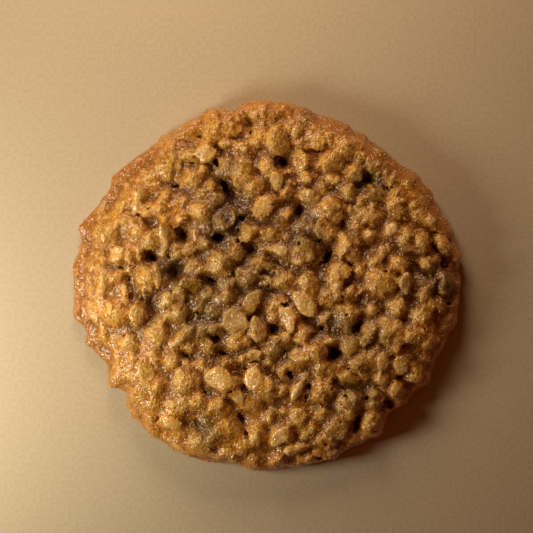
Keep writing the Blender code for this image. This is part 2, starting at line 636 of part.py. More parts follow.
def main():
    """Clears the scene and builds the cookie in a collection of its own."""
    for obj in list(bpy.data.objects):
        bpy.data.objects.remove(obj)
    mounds = scattered_mounds()
    body = make_body(mounds)
    fuse_flakes(body, mounds)
    keep_largest_shell(body)
    join_base_faces(body)
    centre_on_base(body)
    body.data.materials.clear()
    body.data.materials.append(make_crust())
    body.data.shade_smooth()
    body.data.set_sharp_from_angle(angle=math.radians(60.0))
    food = bpy.data.collections.new("oatmeal_cookie")
    bpy.context.scene.collection.children.link(food)
    for collection in list(body.users_collection):
        collection.objects.unlink(body)
    food.objects.link(body)
    print(len(mounds), "mounds,", len(body.data.polygons), "triangles")


main()
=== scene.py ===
"""Looks of an oatmeal cookie: craggy baked dough over coated oats, with bare flakes and fine grain.

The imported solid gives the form. A copy of it gets dough-coated oats, bare flakes and crumbs and is
melted into one skin by a voxel remesh. Its narrow creases are then filled, and it is pitted and grained.
Lengths are metres, and those of the named tables mm. +X is the photo's right and +Y its top.
"""

import logging
import math
import random
from collections.abc import Callable
from dataclasses import dataclass, field
from enum import Enum
from typing import NamedTuple

import bmesh
import bpy
import numpy as np
from mathutils import Euler, Matrix, Vector, noise
from mathutils.bvhtree import BVHTree


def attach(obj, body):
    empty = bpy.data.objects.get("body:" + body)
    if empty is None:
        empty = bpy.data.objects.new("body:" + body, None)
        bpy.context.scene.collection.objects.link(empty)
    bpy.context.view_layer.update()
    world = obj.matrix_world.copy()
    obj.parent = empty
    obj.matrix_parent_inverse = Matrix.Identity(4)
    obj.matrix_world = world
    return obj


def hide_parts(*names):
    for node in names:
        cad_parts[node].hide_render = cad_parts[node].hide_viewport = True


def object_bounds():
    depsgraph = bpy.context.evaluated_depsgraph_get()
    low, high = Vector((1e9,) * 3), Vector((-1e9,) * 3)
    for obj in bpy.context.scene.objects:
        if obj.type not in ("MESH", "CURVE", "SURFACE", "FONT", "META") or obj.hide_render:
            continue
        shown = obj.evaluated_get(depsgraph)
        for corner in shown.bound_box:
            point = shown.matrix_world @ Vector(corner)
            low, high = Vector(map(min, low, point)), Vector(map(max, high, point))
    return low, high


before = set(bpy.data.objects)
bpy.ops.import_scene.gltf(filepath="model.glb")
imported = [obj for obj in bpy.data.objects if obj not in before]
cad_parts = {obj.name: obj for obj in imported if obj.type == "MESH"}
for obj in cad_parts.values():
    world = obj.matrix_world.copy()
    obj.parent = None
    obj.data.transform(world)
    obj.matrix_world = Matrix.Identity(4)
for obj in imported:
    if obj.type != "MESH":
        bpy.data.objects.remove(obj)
CAD_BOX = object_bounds()

MM = 0.001
FULL_TURN = 2 * math.pi
NODE = "cookie"
BODY = "root"

log = logging.getLogger("oatmeal_cookie")

Colour = tuple[float, float, float]


class Attribute(Enum):
    """Per-vertex values that the finishes read."""

    HOLLOW = "hollow_shade"
    DEPTH = "depth"
    PEAK = "peak"
    RIM = "rim"
    SKIRT = "skirt_and_side_shade"
    OAT = "oat"
    RIB = "rib"
    PIT = "pit"
    TINT = "tint"
    UNDER = "under"
    TONE = "tone_and_light"


def read_rows(
    items: bpy.types.bpy_prop_collection, name: str, width: int, kind: type = np.float32
) -> np.ndarray:
    """Reads one property of every item in a mesh's list.

    Args:
        items: The list, such as the mesh's vertices.
        name: The property.
        width: How many numbers it has.
        kind: Type of the numbers.

    Returns:
        One row for each item.
    """
    rows = np.empty(len(items) * width, kind)
    items.foreach_get(name, rows)
    return rows.reshape(-1, width)


def points_of(mesh: bpy.types.Mesh) -> np.ndarray:
    """A mesh's vertex positions, one row each."""
    return read_rows(mesh.vertices, "co", 3).astype(np.float64)


def set_points(mesh: bpy.types.Mesh, points: np.ndarray) -> None:
    """Writes a mesh's points.

    Args:
        mesh: The mesh to change.
        points: One row for each vertex.
    """
    mesh.vertices.foreach_set("co", points.astype(np.float32).ravel())
    mesh.update()


def normals_of(mesh: bpy.types.Mesh) -> np.ndarray:
    """A mesh's vertex normals, one row each."""
    return read_rows(mesh.vertex_normals, "vector", 3).astype(np.float64)


def store(mesh: bpy.types.Mesh, name: Attribute, values: np.ndarray) -> None:
    """Keeps one number for each vertex, for the finishes.

    Args:
        mesh: The mesh that gets the attribute.
        name: Which attribute.
        values: One number for each vertex.
    """
    layer = mesh.attributes.new(name.value, "FLOAT", "POINT")
    layer.data.foreach_set("value", values.astype(np.float32))


def values_of(mesh: bpy.types.Mesh, name: Attribute) -> np.ndarray:
    """Reads back what store kept."""
    return read_rows(mesh.attributes[name.value].data, "value", 1)[:, 0]


def smooth_step(value: np.ndarray) -> np.ndarray:
    """0 below 0, 1 above 1, and a smooth rise between."""
    clipped = np.clip(value, 0.0, 1.0)
    return clipped * clipped * (3.0 - 2.0 * clipped)


def ramp(value: np.ndarray, start: float, length: float) -> np.ndarray:
    """A smooth rise from 0 at the start to 1 over this length."""
    return smooth_step((value - start) / length)


def at_points(points: np.ndarray, rule: Callable[[Vector], object]) -> np.ndarray:
    """What a rule gives at each of these points."""
    return np.array([rule(Vector(point)) for point in points])


def hollowness(mesh: bpy.types.Mesh, rounds: int) -> np.ndarray:
    """How far each vertex lies below the surface that is left once its relief is smoothed away.

    Args:
        mesh: The mesh.
        rounds: How many times each vertex moves to the mean of its neighbours.

    Returns:
        The distance along each vertex's normal, below 0 on what stands out.
    """
    points = points_of(mesh)
    edges = read_rows(mesh.edges, "vertices", 2, np.int32)
    start, end = np.concatenate([edges[:, 0], edges[:, 1]]), np.concatenate([edges[:, 1], edges[:, 0]])
    count = np.maximum(np.bincount(start, minlength=len(points)), 1)
    soft = points
    for _ in range(rounds):
        mean = [np.bincount(start, soft[end, axis], len(points)) / count for axis in range(3)]
        soft = np.column_stack(mean)
    return np.einsum("ij,ij->i", soft - points, normals_of(mesh))


def only_selected(*objects: bpy.types.Object) -> None:
    """Selects these objects alone and makes the first one active.

    Args:
        *objects: The objects to select.
    """
    if bpy.context.mode != "OBJECT":
        bpy.ops.object.mode_set(mode="OBJECT")
    bpy.ops.object.select_all(action="DESELECT")
    for piece in objects:
        piece.select_set(True)
    bpy.context.view_layer.objects.active = objects[0]


def linked(name: str, data: bpy.types.ID) -> bpy.types.Object:
    """Puts a mesh, a light or a camera in the scene.

    Args:
        name: Name of the object.
        data: What it shows.

    Returns:
        The new object.
    """
    made = bpy.data.objects.new(name, data)
    bpy.context.scene.collection.objects.link(made)
    return made


def add_primitive(operator: Callable[..., set[str]], **settings: object) -> bpy.types.Object:
    """Adds a primitive with nothing of the cookie selected.

    Args:
        operator: Blender's operator that adds it.
        **settings: Its size and how finely it is divided.

    Returns:
        The new object.
    """
    only_selected(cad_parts[NODE])
    operator(**settings)
    return bpy.context.active_object


def apply_modifier(piece: bpy.types.Object, kind: str, **settings: object) -> None:
    """Adds a modifier with these settings and applies it.

    Args:
        piece: The object that gets it.
        kind: Blender's name of the modifier's type.
        **settings: Values to set on the modifier.
    """
    modifier = piece.modifiers.new(kind.lower(), kind)
    for name, value in settings.items():
        setattr(modifier, name, value)
    only_selected(piece)
    bpy.ops.object.modifier_apply(modifier=modifier.name)


def triangles_of(piece: bpy.types.Object) -> int:
    """How many triangles the piece's faces make."""
    return sum(len(face.vertices) - 2 for face in piece.data.polygons)


def joined_copies(
    name: str, template: bpy.types.Object, places: list[Matrix], wobble: float, seed: int
) -> bpy.types.Object:
    """Makes one mesh from many placed copies of a small one, each a little misshapen.

    Args:
        name: Name of the new piece.
        template: The shape that is repeated, which is removed after use.
        places: A matrix for each copy.
        wobble: How far each copy swells and shrinks, as a share of its size.
        seed: Seed of the misshaping.

    Returns:
        The new piece, with a random tint for each copy on its vertices.
    """
    rng = np.random.default_rng(seed)
    points = points_of(template.data)
    faces = np.array([list(face.vertices) for face in template.data.polygons])
    count, copies = len(points), len(places)
    moves = np.array([np.array(place) for place in places])
    reach = np.abs(points).max()
    ways = rng.normal(0.0, 2.4 / reach, (copies, 2, 3))
    phases = rng.uniform(0.0, FULL_TURN, (copies, 2, 1))
    waves = np.sin(np.einsum("kwj,nj->kwn", ways, points) + phases)
    swell = 1.0 + wobble * (waves[:, 0] + 0.7 * waves[:, 1])
    shaped = points[None] * swell[:, :, None]
    spread = np.einsum("kij,knj->kni", moves[:, :3, :3], shaped) + moves[:, None, :3, 3]
    corners = faces[None] + (np.arange(copies) * count)[:, None, None]
    mesh = bpy.data.meshes.new(name)
    mesh.from_pydata(spread.reshape(-1, 3), [], corners.reshape(-1, faces.shape[1]))
    mesh.update()
    store(mesh, Attribute.TINT, np.repeat(rng.random(copies), count))
    bpy.data.objects.remove(template)
    return linked(name, mesh)


@dataclass
class TopMap:
    """Heights of a surface seen from above, on an even grid."""

    surface: BVHTree
    reach: float = 52.0 * MM
    step: float = 0.5 * MM
    heights: np.ndarray = field(init=False)
    solid: np.ndarray = field(init=False)

    def __post_init__(self) -> None:
        """Drops a ray at every grid point."""
        count = int(2 * self.reach / self.step) + 1
        self.heights = np.zeros((count, count))
        self.solid = np.zeros((count, count), bool)
        down = Vector((0.0, 0.0, -1.0))
        for row in range(count):
            for column in range(count):
                start = Vector((column * self.step - self.reach, row * self.step - self.reach, 0.1))
                hit = self.surface.ray_cast(start, down)[0]
                if hit is not None:
                    self.heights[row, column] = hit.z
                    self.solid[row, column] = True

    def shifted(self, grid: np.ndarray, radius: float, axis: int) -> list[np.ndarray]:
        """The grid moved by every step up to this radius, both ways."""
        reach = max(1, int(round(radius / self.step)))
        return [np.roll(grid, shift, axis) for shift in range(-reach, reach + 1)]

    def blurred(self, radius: float) -> np.ndarray:
        """Mean heights over a square of about this radius, of the solid parts alone.

        Args:
            radius: Half the square's side.

        Returns:
            The blurred grid of heights.
        """
        weight = self.solid.astype(float)
        total = self.heights * weight
        for axis in (0, 1):
            total = sum(self.shifted(total, radius, axis))
            weight = sum(self.shifted(weight, radius, axis))
        return total / np.maximum(weight, 1e-9)

    def envelope(self, radius: float) -> np.ndarray:
        """Highest heights within this radius, softened.

        Args:
            radius: How far the tops are felt.

        Returns:
            A grid that runs from top to top over the hollows.
        """
        tops = self.heights
        for pick in (np.max, np.mean):
            for axis in (0, 1):
                tops = pick(self.shifted(tops, radius, axis), axis=0)
        return tops

    def read(self, grid: np.ndarray, x: np.ndarray, y: np.ndarray) -> np.ndarray:
        """The grid's values at these places, blended between its points.

        Args:
            grid: One of this map's grids.
            x: Places from the middle.
            y: Places from the middle.

        Returns:
            The values there.
        """
        last = len(grid) - 1.001
        column = np.clip((np.asarray(x) + self.reach) / self.step, 0, last)
        row = np.clip((np.asarray(y) + self.reach) / self.step, 0, last)
        left, low = np.floor(column).astype(int), np.floor(row).astype(int)
        right, up = column - left, row - low
        below = grid[low, left] * (1 - right) + grid[low, left + 1] * right
        above = grid[low + 1, left] * (1 - right) + grid[low + 1, left + 1] * right
        return below * (1 - up) + above * up

    def normal(self, grid: np.ndarray, x: float, y: float, span: float) -> Vector:
        """Upward normal of a blurred grid.

        Args:
            grid: Heights to read.
            x: Place from the middle.
            y: Place from the middle.
            span: Distance over which the slope is taken.

        Returns:
            The unit normal.
        """
        slope_x = (self.read(grid, x + span, y) - self.read(grid, x - span, y)) / (2 * span)
        slope_y = (self.read(grid, x, y + span) - self.read(grid, x, y - span)) / (2 * span)
        return Vector((-slope_x, -slope_y, 1.0)).normalized()


@dataclass
class Outline:
    """Distance from the middle to the cookie's edge, in every direction."""

    points: np.ndarray
    bins: int = 240
    radii: np.ndarray = field(init=False)

    def __post_init__(self) -> None:
        """Takes the farthest point in each direction."""
        turn = np.arctan2(self.points[:, 1], self.points[:, 0])
        place = (turn / FULL_TURN % 1.0 * self.bins).astype(int) % self.bins
        self.radii = np.zeros(self.bins)
        np.maximum.at(self.radii, place, np.hypot(self.points[:, 0], self.points[:, 1]))
        empty = self.radii < 1e-4
        self.radii[empty] = self.radii[~empty].mean()

    def inside(self, x: np.ndarray, y: np.ndarray) -> np.ndarray:
        """How far these places lie inside the edge, towards the middle.

        Args:
            x: Places from the middle.
            y: Places from the middle.

        Returns:
            The distances, below 0 outside the edge.
        """
        place = np.arctan2(y, x) / FULL_TURN % 1.0 * self.bins
        first = np.floor(place).astype(int) % self.bins
        share = place - np.floor(place)
        edge = self.radii[first] * (1 - share) + self.radii[(first + 1) % self.bins] * share
        return edge - np.hypot(x, y)


def turned_from(turn: np.ndarray, middle: float) -> np.ndarray:
    """Degrees from a middle direction to others, from -180 to 180."""
    return (turn - middle + 180.0) % 360.0 - 180.0


@dataclass(frozen=True)
class EdgeZone:
    """A stretch of the edge, in degrees round from +X, and how far it reaches inwards."""

    start: float
    end: float
    width: float
    fade: float = 9.0

    def share(self, x: np.ndarray, y: np.ndarray) -> np.ndarray:
        """1 in the stretch's directions, falling to 0 on both sides.

        Args:
            x: Places from the middle.
            y: Places from the middle.

        Returns:
            The share for each place.
        """
        turn = np.degrees(np.arctan2(y, x))
        middle, half = (self.start + self.end) / 2.0, (self.end - self.start) / 2.0
        return 1.0 - ramp(np.abs(turned_from(turn, middle)), half, self.fade)


SKIRT = EdgeZone(133.0, 203.0, 2.6 * MM)
BARE_SIDE = EdgeZone(22.0, 74.0, 2.6 * MM)
SMOOTH_EDGES = (SKIRT, BARE_SIDE)
CALM_SIDE = EdgeZone(202.0, 266.0, 28.0 * MM, 14.0)
CALM_CORE = 0.25


def calmness(outline: Outline, x: np.ndarray, y: np.ndarray) -> np.ndarray:
    """1 where the crags are low and soft, near the front left edge.

    Args:
        outline: The cookie's edge.
        x: Places from the middle.
        y: Places from the middle.

    Returns:
        The share for each place.
    """
    inwards = outline.inside(x, y) / CALM_SIDE.width
    return CALM_SIDE.share(x, y) * (1.0 - smooth_step(inwards - CALM_CORE))


def random_place(rng: random.Random, inset: float = 0.0) -> tuple[float, float]:
    """A place in mm by chance, this far inside the cookie's box."""
    half_x, half_y = 49.0 - inset, 47.0 - inset
    return rng.uniform(-half_x, half_x), rng.uniform(-half_y, half_y)


def random_spin(rng: random.Random) -> Matrix:
    """A turn by chance about all three axes."""
    return Euler([rng.uniform(0.0, FULL_TURN) for _ in range(3)]).to_matrix().to_4x4()


def random_lump(radius: float, rng: random.Random) -> Matrix:
    """A scaling that makes a ball an uneven lump of up to this radius."""
    return Matrix.Diagonal((radius, radius * rng.uniform(0.6, 1.0), radius * rng.uniform(0.5, 0.9), 1.0))


def lie_on(normal: Vector, lean: float, rng: random.Random) -> Matrix:
    """Turns +Z to a normal that leans a little to a random side.

    Args:
        normal: Upward normal of what the piece lies on.
        lean: Largest lean, in radians.
        rng: Source of the random draw.

    Returns:
        A 4 by 4 rotation.
    """
    side = rng.uniform(0.0, FULL_TURN)
    tip = math.tan(lean * rng.random())
    leaning = (normal + Vector((math.cos(side), math.sin(side), 0.0)) * tip).normalized()
    return Vector((0.0, 0.0, 1.0)).rotation_difference(leaning).to_matrix().to_4x4()


def make_oat(segments: int, rings: int) -> bpy.types.Object:
    """One rolled oat flake, 1 long, 1 wide and 1 thick: flat, with a narrower end and a bend.

    Args:
        segments: Sides round the flake.
        rings: Rings from bottom to top.

    Returns:
        The flake, which is a template.
    """
    operator = bpy.ops.mesh.primitive_uv_sphere_add
    flake = add_primitive(operator, segments=segments, ring_count=rings, radius=0.5)
    points = points_of(flake.data)
    flat = np.sign(points[:, 2]) * np.abs(points[:, 2] * 2) ** 0.6 / 2
    narrow = 1.0 - 0.28 * np.clip(points[:, 0] * 2, 0.0, 1.0) ** 2
    bend = 0.28 * (points[:, 0] ** 2 - 0.12) + 0.16 * points[:, 1] ** 2
    points = np.column_stack([points[:, 0], points[:, 1] * narrow, flat + bend])
    set_points(flake.data, points)
    apply_modifier(flake, "TRIANGULATE")
    return flake


class Flake(NamedTuple):
    """A bare oat flake: its middle and size in mm, its turn in degrees, and how bare of dough it is."""

    x: float
    y: float
    length: float
    width: float
    turn: float
    bare: float = 0.55


FLAKES = (
    Flake(-7.8, -9.0, 7.4, 5.4, -35, 0.9),
    Flake(-1.9, -11.1, 6.4, 4.4, 110, 0.9),
    Flake(5.4, -8.2, 6.4, 4.2, -75, 0.9),
    Flake(1.4, -8.2, 4.4, 3.2, 60),
    Flake(9.4, -4.8, 7.4, 4.2, -40, 0.7),
    Flake(-3.4, -4.0, 6.6, 4.4, 60, 0.6),
    Flake(-11.4, -23.6, 8.4, 6.2, -10, 0.9),
    Flake(-3.2, -22.6, 6.6, 4.4, 80, 0.8),
    Flake(7.6, -26.2, 6.2, 2.2, 62, 0.9),
    Flake(4.6, -23.3, 3.2, 1.9, -30, 0.8),
    Flake(3.4, -37.4, 6.6, 3.4, 42, 0.8),
    Flake(7.3, -40.8, 7.4, 2.6, 12, 0.8),
    Flake(16.3, -41.6, 2.8, 2.0, 20, 1.0),
    Flake(9.0, -43.4, 2.6, 1.6, -20, 0.8),
    Flake(-15.0, 32.6, 5.4, 4.0, 10, 0.9),
    Flake(-0.6, 19.4, 7.0, 4.4, 22, 0.6),
    Flake(34.3, 0.2, 6.0, 3.0, 95, 0.9),
    Flake(-7.0, 8.2, 3.8, 3.2, 110),
    Flake(-41.3, 18.5, 6.0, 2.0, 75, 0.8),
    Flake(28.8, -19.0, 5.6, 3.0, 80),
    Flake(33.2, -20.0, 5.0, 3.8, 80),
    Flake(25.4, -12.2, 3.8, 2.4, 45),
    Flake(-2.3, -16.8, 2.8, 2.0, 10, 0.9),
    Flake(-7.4, -27.4, 4.2, 3.0, 120, 0.7),
    Flake(15.6, -14.2, 3.6, 2.9, 20, 0.8),
    Flake(-32.2, 19.4, 3.8, 2.8, -50, 0.9),
    Flake(-27.0, 2.4, 6.4, 1.8, 95, 0.8),
    Flake(-25.6, 12.0, 7.0, 2.8, 95),
    Flake(2.4, 26.0, 4.8, 3.2, 80, 0.8),
    Flake(10.3, 22.2, 4.2, 3.0, 20, 0.7),
    Flake(23.2, 35.0, 6.4, 1.4, -32, 0.7),
    Flake(25.4, 12.2, 3.2, 2.4, 30, 0.9),
    Flake(30.8, 13.8, 3.6, 2.8, 40, 0.9),
    Flake(28.6, -23.2, 4.0, 2.8, 100, 0.7),
    Flake(31.6, -26.0, 4.4, 2.6, 85, 0.7),
    Flake(20.0, -10.8, 2.6, 1.8, 80, 0.8),
    Flake(17.6, 1.2, 5.2, 2.6, 85),
    Flake(9.0, 1.2, 3.6, 2.6, 30),
    Flake(3.6, 8.6, 3.8, 2.6, 160, 0.8),
    Flake(-23.4, -34.0, 5.0, 3.0, 150, 0.7),
    Flake(-32.0, -7.0, 5.6, 3.4, 95),
    Flake(-36.8, 7.8, 4.4, 3.2, 20),
    Flake(-12.8, -42.4, 4.4, 1.8, -35, 0.8),
    Flake(-22.0, -40.4, 5.2, 2.0, -38, 0.8),
    Flake(-10.4, 34.8, 3.2, 2.4, 20),
    Flake(40.6, 16.0, 2.8, 2.0, 0, 0.8),
    Flake(37.6, -25.0, 2.8, 1.8, 30, 0.8),
    Flake(16.2, 29.6, 7.2, 5.0, 50, 0.42),
    Flake(17.0, 22.6, 6.2, 4.4, 110, 0.38),
    Flake(13.2, 17.6, 5.0, 3.8, 20, 0.36),
    Flake(-22.6, 17.4, 6.4, 4.6, 65, 0.40),
    Flake(-28.6, 23.6, 6.4, 4.4, 40, 0.42),
    Flake(-36.4, -2.4, 6.8, 4.8, 95, 0.40),
    Flake(-37.0, 12.4, 6.4, 4.4, 70, 0.38),
    Flake(-42.0, -4.6, 5.4, 3.6, 95, 0.36),
    Flake(-29.8, -22.0, 6.4, 4.6, 120, 0.36),
    Flake(-10.6, -30.2, 6.2, 4.4, 160, 0.40),
    Flake(-3.4, -28.8, 6.0, 4.6, 30, 0.42),
    Flake(-23.6, -37.6, 6.0, 4.0, 145, 0.38),
    Flake(9.8, -10.6, 5.4, 4.0, 20, 0.40),
    Flake(10.6, -17.0, 5.4, 4.0, 110, 0.36),
    Flake(3.6, -35.0, 5.4, 3.6, 60, 0.36),
    Flake(-2.6, 24.2, 5.6, 4.2, 75, 0.40),
    Flake(-15.6, 14.6, 5.8, 4.2, 30, 0.40),
)


class Pit(NamedTuple):
    """A hole or crevice: its middle, half length, half width and depth in mm, its turn in degrees."""

    x: float
    y: float
    length: float
    width: float
    turn: float
    depth: float
    def away(self, x: np.ndarray, y: np.ndarray) -> np.ndarray:
        """How far places in mm lie from the middle, where about 1 is the pit's edge.

        Args:
            x: Places from the cookie's middle.
            y: Places from the cookie's middle.

        Returns:
            The distances as a share of the pit's reach.
        """
        turn = math.radians(self.turn)
        along = (x - self.x) * math.cos(turn) + (y - self.y) * math.sin(turn)
        over = (y - self.y) * math.cos(turn) - (x - self.x) * math.sin(turn)
        return np.hypot(along / self.length, over / (0.8 * self.width))

    def sink(self) -> float:
        """How deep it is made in mm, which is less for a narrow pit."""
        return min(0.85 * self.depth, 2.2 * self.width + 0.2)

    def floor_shade(self) -> float:
        """How dark its floor is painted, as painted shade, from 0 to 1."""
        return min(1.0, self.depth / 3.0) * min(1.0, 0.45 + 0.7 * self.width)

PITS = (
    Pit(-9.9, 23.2, 3.4, 1.0, 115, 2.6),
    Pit(-12.6, 30.2, 1.3, 0.8, 120, 2.0),
    Pit(-6.0, 16.6, 0.95, 0.85, 0, 3.2),
    Pit(-9.7, 18.6, 0.7, 0.4, 0, 1.6),
    Pit(4.2, 30.5, 1.3, 0.9, -45, 2.6),
    Pit(-22.8, 24.6, 0.95, 0.75, 0, 3.2),
    Pit(-19.0, 30.4, 1.7, 0.4, 0, 1.8),
    Pit(-29.3, 19.1, 0.5, 0.4, 0, 1.5),
    Pit(-31.8, 17.4, 0.5, 0.4, 0, 1.6),
    Pit(-3.9, 37.8, 0.9, 0.6, 90, 2.0),
    Pit(-16.5, 36.8, 0.9, 0.6, 0, 1.6),
    Pit(-11.9, 32.9, 0.6, 0.45, 90, 1.8),
    Pit(13.0, 33.0, 0.6, 0.5, 0, 2.2),
    Pit(14.1, 25.6, 0.45, 0.45, 0, 2.0),
    Pit(1.8, 19.9, 0.4, 0.4, 0, 1.6),
    Pit(8.0, 18.0, 2.4, 0.8, 82, 2.0),
    Pit(25.3, 26.2, 0.9, 0.7, 0, 2.4),
    Pit(30.9, 24.1, 0.7, 0.45, 0, 2.2),
    Pit(18.8, 15.2, 1.0, 0.55, 90, 2.4),
    Pit(22.3, 30.1, 0.4, 0.4, 0, 1.5),
    Pit(18.0, 30.3, 0.4, 0.4, 0, 1.4),
    Pit(-28.3, 6.7, 1.6, 0.5, 0, 2.6),
    Pit(-24.1, 6.8, 0.45, 0.45, 0, 1.6),
    Pit(-20.6, 12.6, 0.9, 0.7, 20, 2.6),
    Pit(-22.6, 3.0, 1.5, 0.8, 70, 2.6),
    Pit(-23.7, -1.6, 1.1, 0.4, 110, 2.2),
    Pit(-34.3, 1.4, 0.9, 0.4, 60, 2.0),
    Pit(-36.0, 4.1, 0.8, 0.35, -35, 1.2),
    Pit(-33.4, 4.7, 0.5, 0.4, 0, 1.6),
    Pit(-30.8, -3.6, 0.75, 0.4, 20, 2.0),
    Pit(-35.1, -12.6, 0.8, 0.35, 40, 1.8),
    Pit(-21.3, -15.2, 0.4, 0.35, 0, 1.4),
    Pit(-20.0, -17.3, 1.3, 0.35, -20, 1.5),
    Pit(-11.4, 11.8, 1.7, 0.9, 15, 2.8),
    Pit(-7.0, 13.7, 0.4, 0.4, 0, 1.8),
    Pit(-7.0, 10.9, 0.6, 0.5, 0, 2.0),
    Pit(-13.3, 1.3, 1.3, 0.65, -25, 2.8),
    Pit(0.4, 0.0, 0.9, 0.4, 0, 2.2),
    Pit(-1.2, -0.8, 0.9, 0.35, 10, 1.6),
    Pit(-1.2, 2.6, 0.35, 0.35, 0, 1.4),
    Pit(8.0, 10.3, 0.45, 0.4, 0, 1.8),
    Pit(13.2, 11.0, 0.9, 0.4, 0, 2.2),
    Pit(14.9, 6.8, 2.6, 1.3, 50, 3.0),
    Pit(4.2, -4.8, 0.9, 0.35, 0, 1.5),
    Pit(8.4, 2.7, 1.0, 0.3, 20, 1.2),
    Pit(1.4, -10.8, 1.2, 0.55, 110, 2.6),
    Pit(-12.6, -13.1, 1.2, 0.45, 10, 2.4),
    Pit(-16.9, -6.8, 0.45, 0.35, 0, 1.6),
    Pit(-6.3, -5.2, 0.45, 0.35, 0, 1.8),
    Pit(14.0, -10.6, 1.0, 0.6, 0, 2.2),
    Pit(4.7, -16.4, 0.8, 0.4, 90, 2.0),
    Pit(0.8, -7.8, 0.35, 0.35, 0, 1.2),
    Pit(29.3, 3.5, 0.5, 0.4, 0, 1.8),
    Pit(20.7, 5.3, 0.8, 0.35, -30, 1.8),
    Pit(42.1, 9.4, 3.6, 0.5, 115, 2.2),
    Pit(44.6, 4.8, 1.8, 0.4, -30, 1.8),
    Pit(45.4, -4.6, 0.8, 0.6, 0, 2.0),
    Pit(39.2, -10.9, 0.9, 0.45, 120, 2.6),
    Pit(18.8, -3.0, 0.45, 0.35, 0, 1.5),
    Pit(19.8, -7.4, 0.45, 0.4, 0, 1.5),
    Pit(27.6, -7.2, 0.4, 0.35, 0, 1.8),
    Pit(22.6, -10.4, 1.9, 0.5, 52, 2.0),
    Pit(34.0, -15.2, 0.7, 0.4, 0, 1.8),
    Pit(35.8, -8.5, 0.4, 0.35, 0, 1.6),
    Pit(16.8, -17.2, 1.8, 1.3, 30, 2.6),
    Pit(20.3, -20.9, 0.35, 0.35, 0, 1.4),
    Pit(-27.3, -33.5, 1.0, 0.4, 90, 2.2),
    Pit(-33.0, -25.0, 0.6, 0.4, 0, 1.6),
    Pit(-3.0, -19.0, 1.9, 0.35, 5, 1.8),
    Pit(5.7, -21.9, 0.9, 0.7, 40, 2.8),
    Pit(10.4, -24.4, 0.9, 0.4, 110, 2.4),
    Pit(9.7, -28.2, 0.8, 0.4, 100, 2.2),
    Pit(-15.2, -27.0, 0.55, 0.4, 0, 1.8),
    Pit(-9.0, -26.4, 0.45, 0.4, 0, 1.8),
    Pit(13.6, -43.2, 1.1, 0.8, 0, 1.6),
    Pit(14.8, -39.6, 0.5, 0.45, 0, 2.0),
    Pit(-10.3, -17.1, 1.8, 0.5, 0, 2.4),
    Pit(-5.2, -20.8, 0.5, 0.4, 0, 1.8),
    Pit(-4.9, -37.4, 1.8, 0.8, 112, 1.8),
    Pit(-6.4, -33.0, 2.0, 0.8, 112, 1.2),
    Pit(22.6, -34.2, 2.8, 0.55, 76, 2.4),
    Pit(30.3, -29.7, 1.2, 0.6, 150, 2.6),
    Pit(27.0, -36.4, 0.9, 0.35, 30, 1.8),
    Pit(19.7, -27.6, 0.6, 0.45, 0, 2.0),
    Pit(16.5, -25.6, 0.6, 0.35, 20, 1.8),
    Pit(33.0, -22.9, 1.7, 0.4, 15, 2.0),
    Pit(30.7, -21.0, 0.4, 0.35, 0, 1.6),
    Pit(18.5, -33.8, 0.8, 0.4, 90, 1.5),
    Pit(24.8, -28.0, 0.6, 0.5, 0, 1.6),
    Pit(-9.6, 17.0, 3.8, 2.3, 105, 1.7),
    Pit(-22.4, 4.2, 3.2, 2.2, 60, 1.3),
    Pit(22.6, 30.4, 2.8, 1.9, 150, 1.1),
    Pit(22.4, 24.0, 2.6, 1.8, 100, 1.0),
    Pit(-16.4, -35.4, 3.2, 1.9, 125, 1.1),
    Pit(42.4, 0.2, 4.6, 1.4, 95, 1.2),
    Pit(-6.0, -16.2, 3.4, 1.5, 10, 1.2),
    Pit(23.4, -3.8, 2.4, 1.6, 60, 1.0),
    Pit(1.0, 2.8, 3.6, 1.3, 165, 1.1),
)


class Knob(NamedTuple):
    """A bulge or notch of the edge: its direction and half width in degrees, and its rise in mm."""

    turn: float
    width: float
    rise: float
    def push(self, turn: np.ndarray) -> np.ndarray:
        """How far it moves the edge outwards in these directions."""
        return self.rise * MM * np.exp(-((turned_from(turn, self.turn) / self.width) ** 2))

KNOBS = (
    Knob(8, 3, 0.8),
    Knob(37, 5, 0.8),
    Knob(108, 4, 0.7),
    Knob(138, 5, 0.9),
    Knob(152, 3, -0.4),
    Knob(162, 3, 1.5),
    Knob(189, 4, 0.9),
    Knob(193.5, 2.5, -1.5),
    Knob(198, 2.5, 0.7),
    Knob(207.5, 3, -0.8),
    Knob(213.5, 3, 0.8),
    Knob(217.5, 2.5, -1.4),
    Knob(228, 6, 1.3),
    Knob(244, 9, 1.0),
    Knob(267, 4, 0.8),
)


class Blotch(NamedTuple):
    """A place where the dough is laid paler, above 0, or browner: partly baked tone, partly painted light on
    slopes that face the lamp and painted shade in valleys; its middle and reach in mm.
    """

    x: float
    y: float
    reach: float
    tone_and_light: float
    def shift(self, x: np.ndarray, y: np.ndarray) -> np.ndarray:
        """What it adds to the tone at these places in mm."""
        away = np.hypot(x - self.x, y - self.y) / self.reach
        return 0.5 * self.tone_and_light * np.exp(-(away**2))
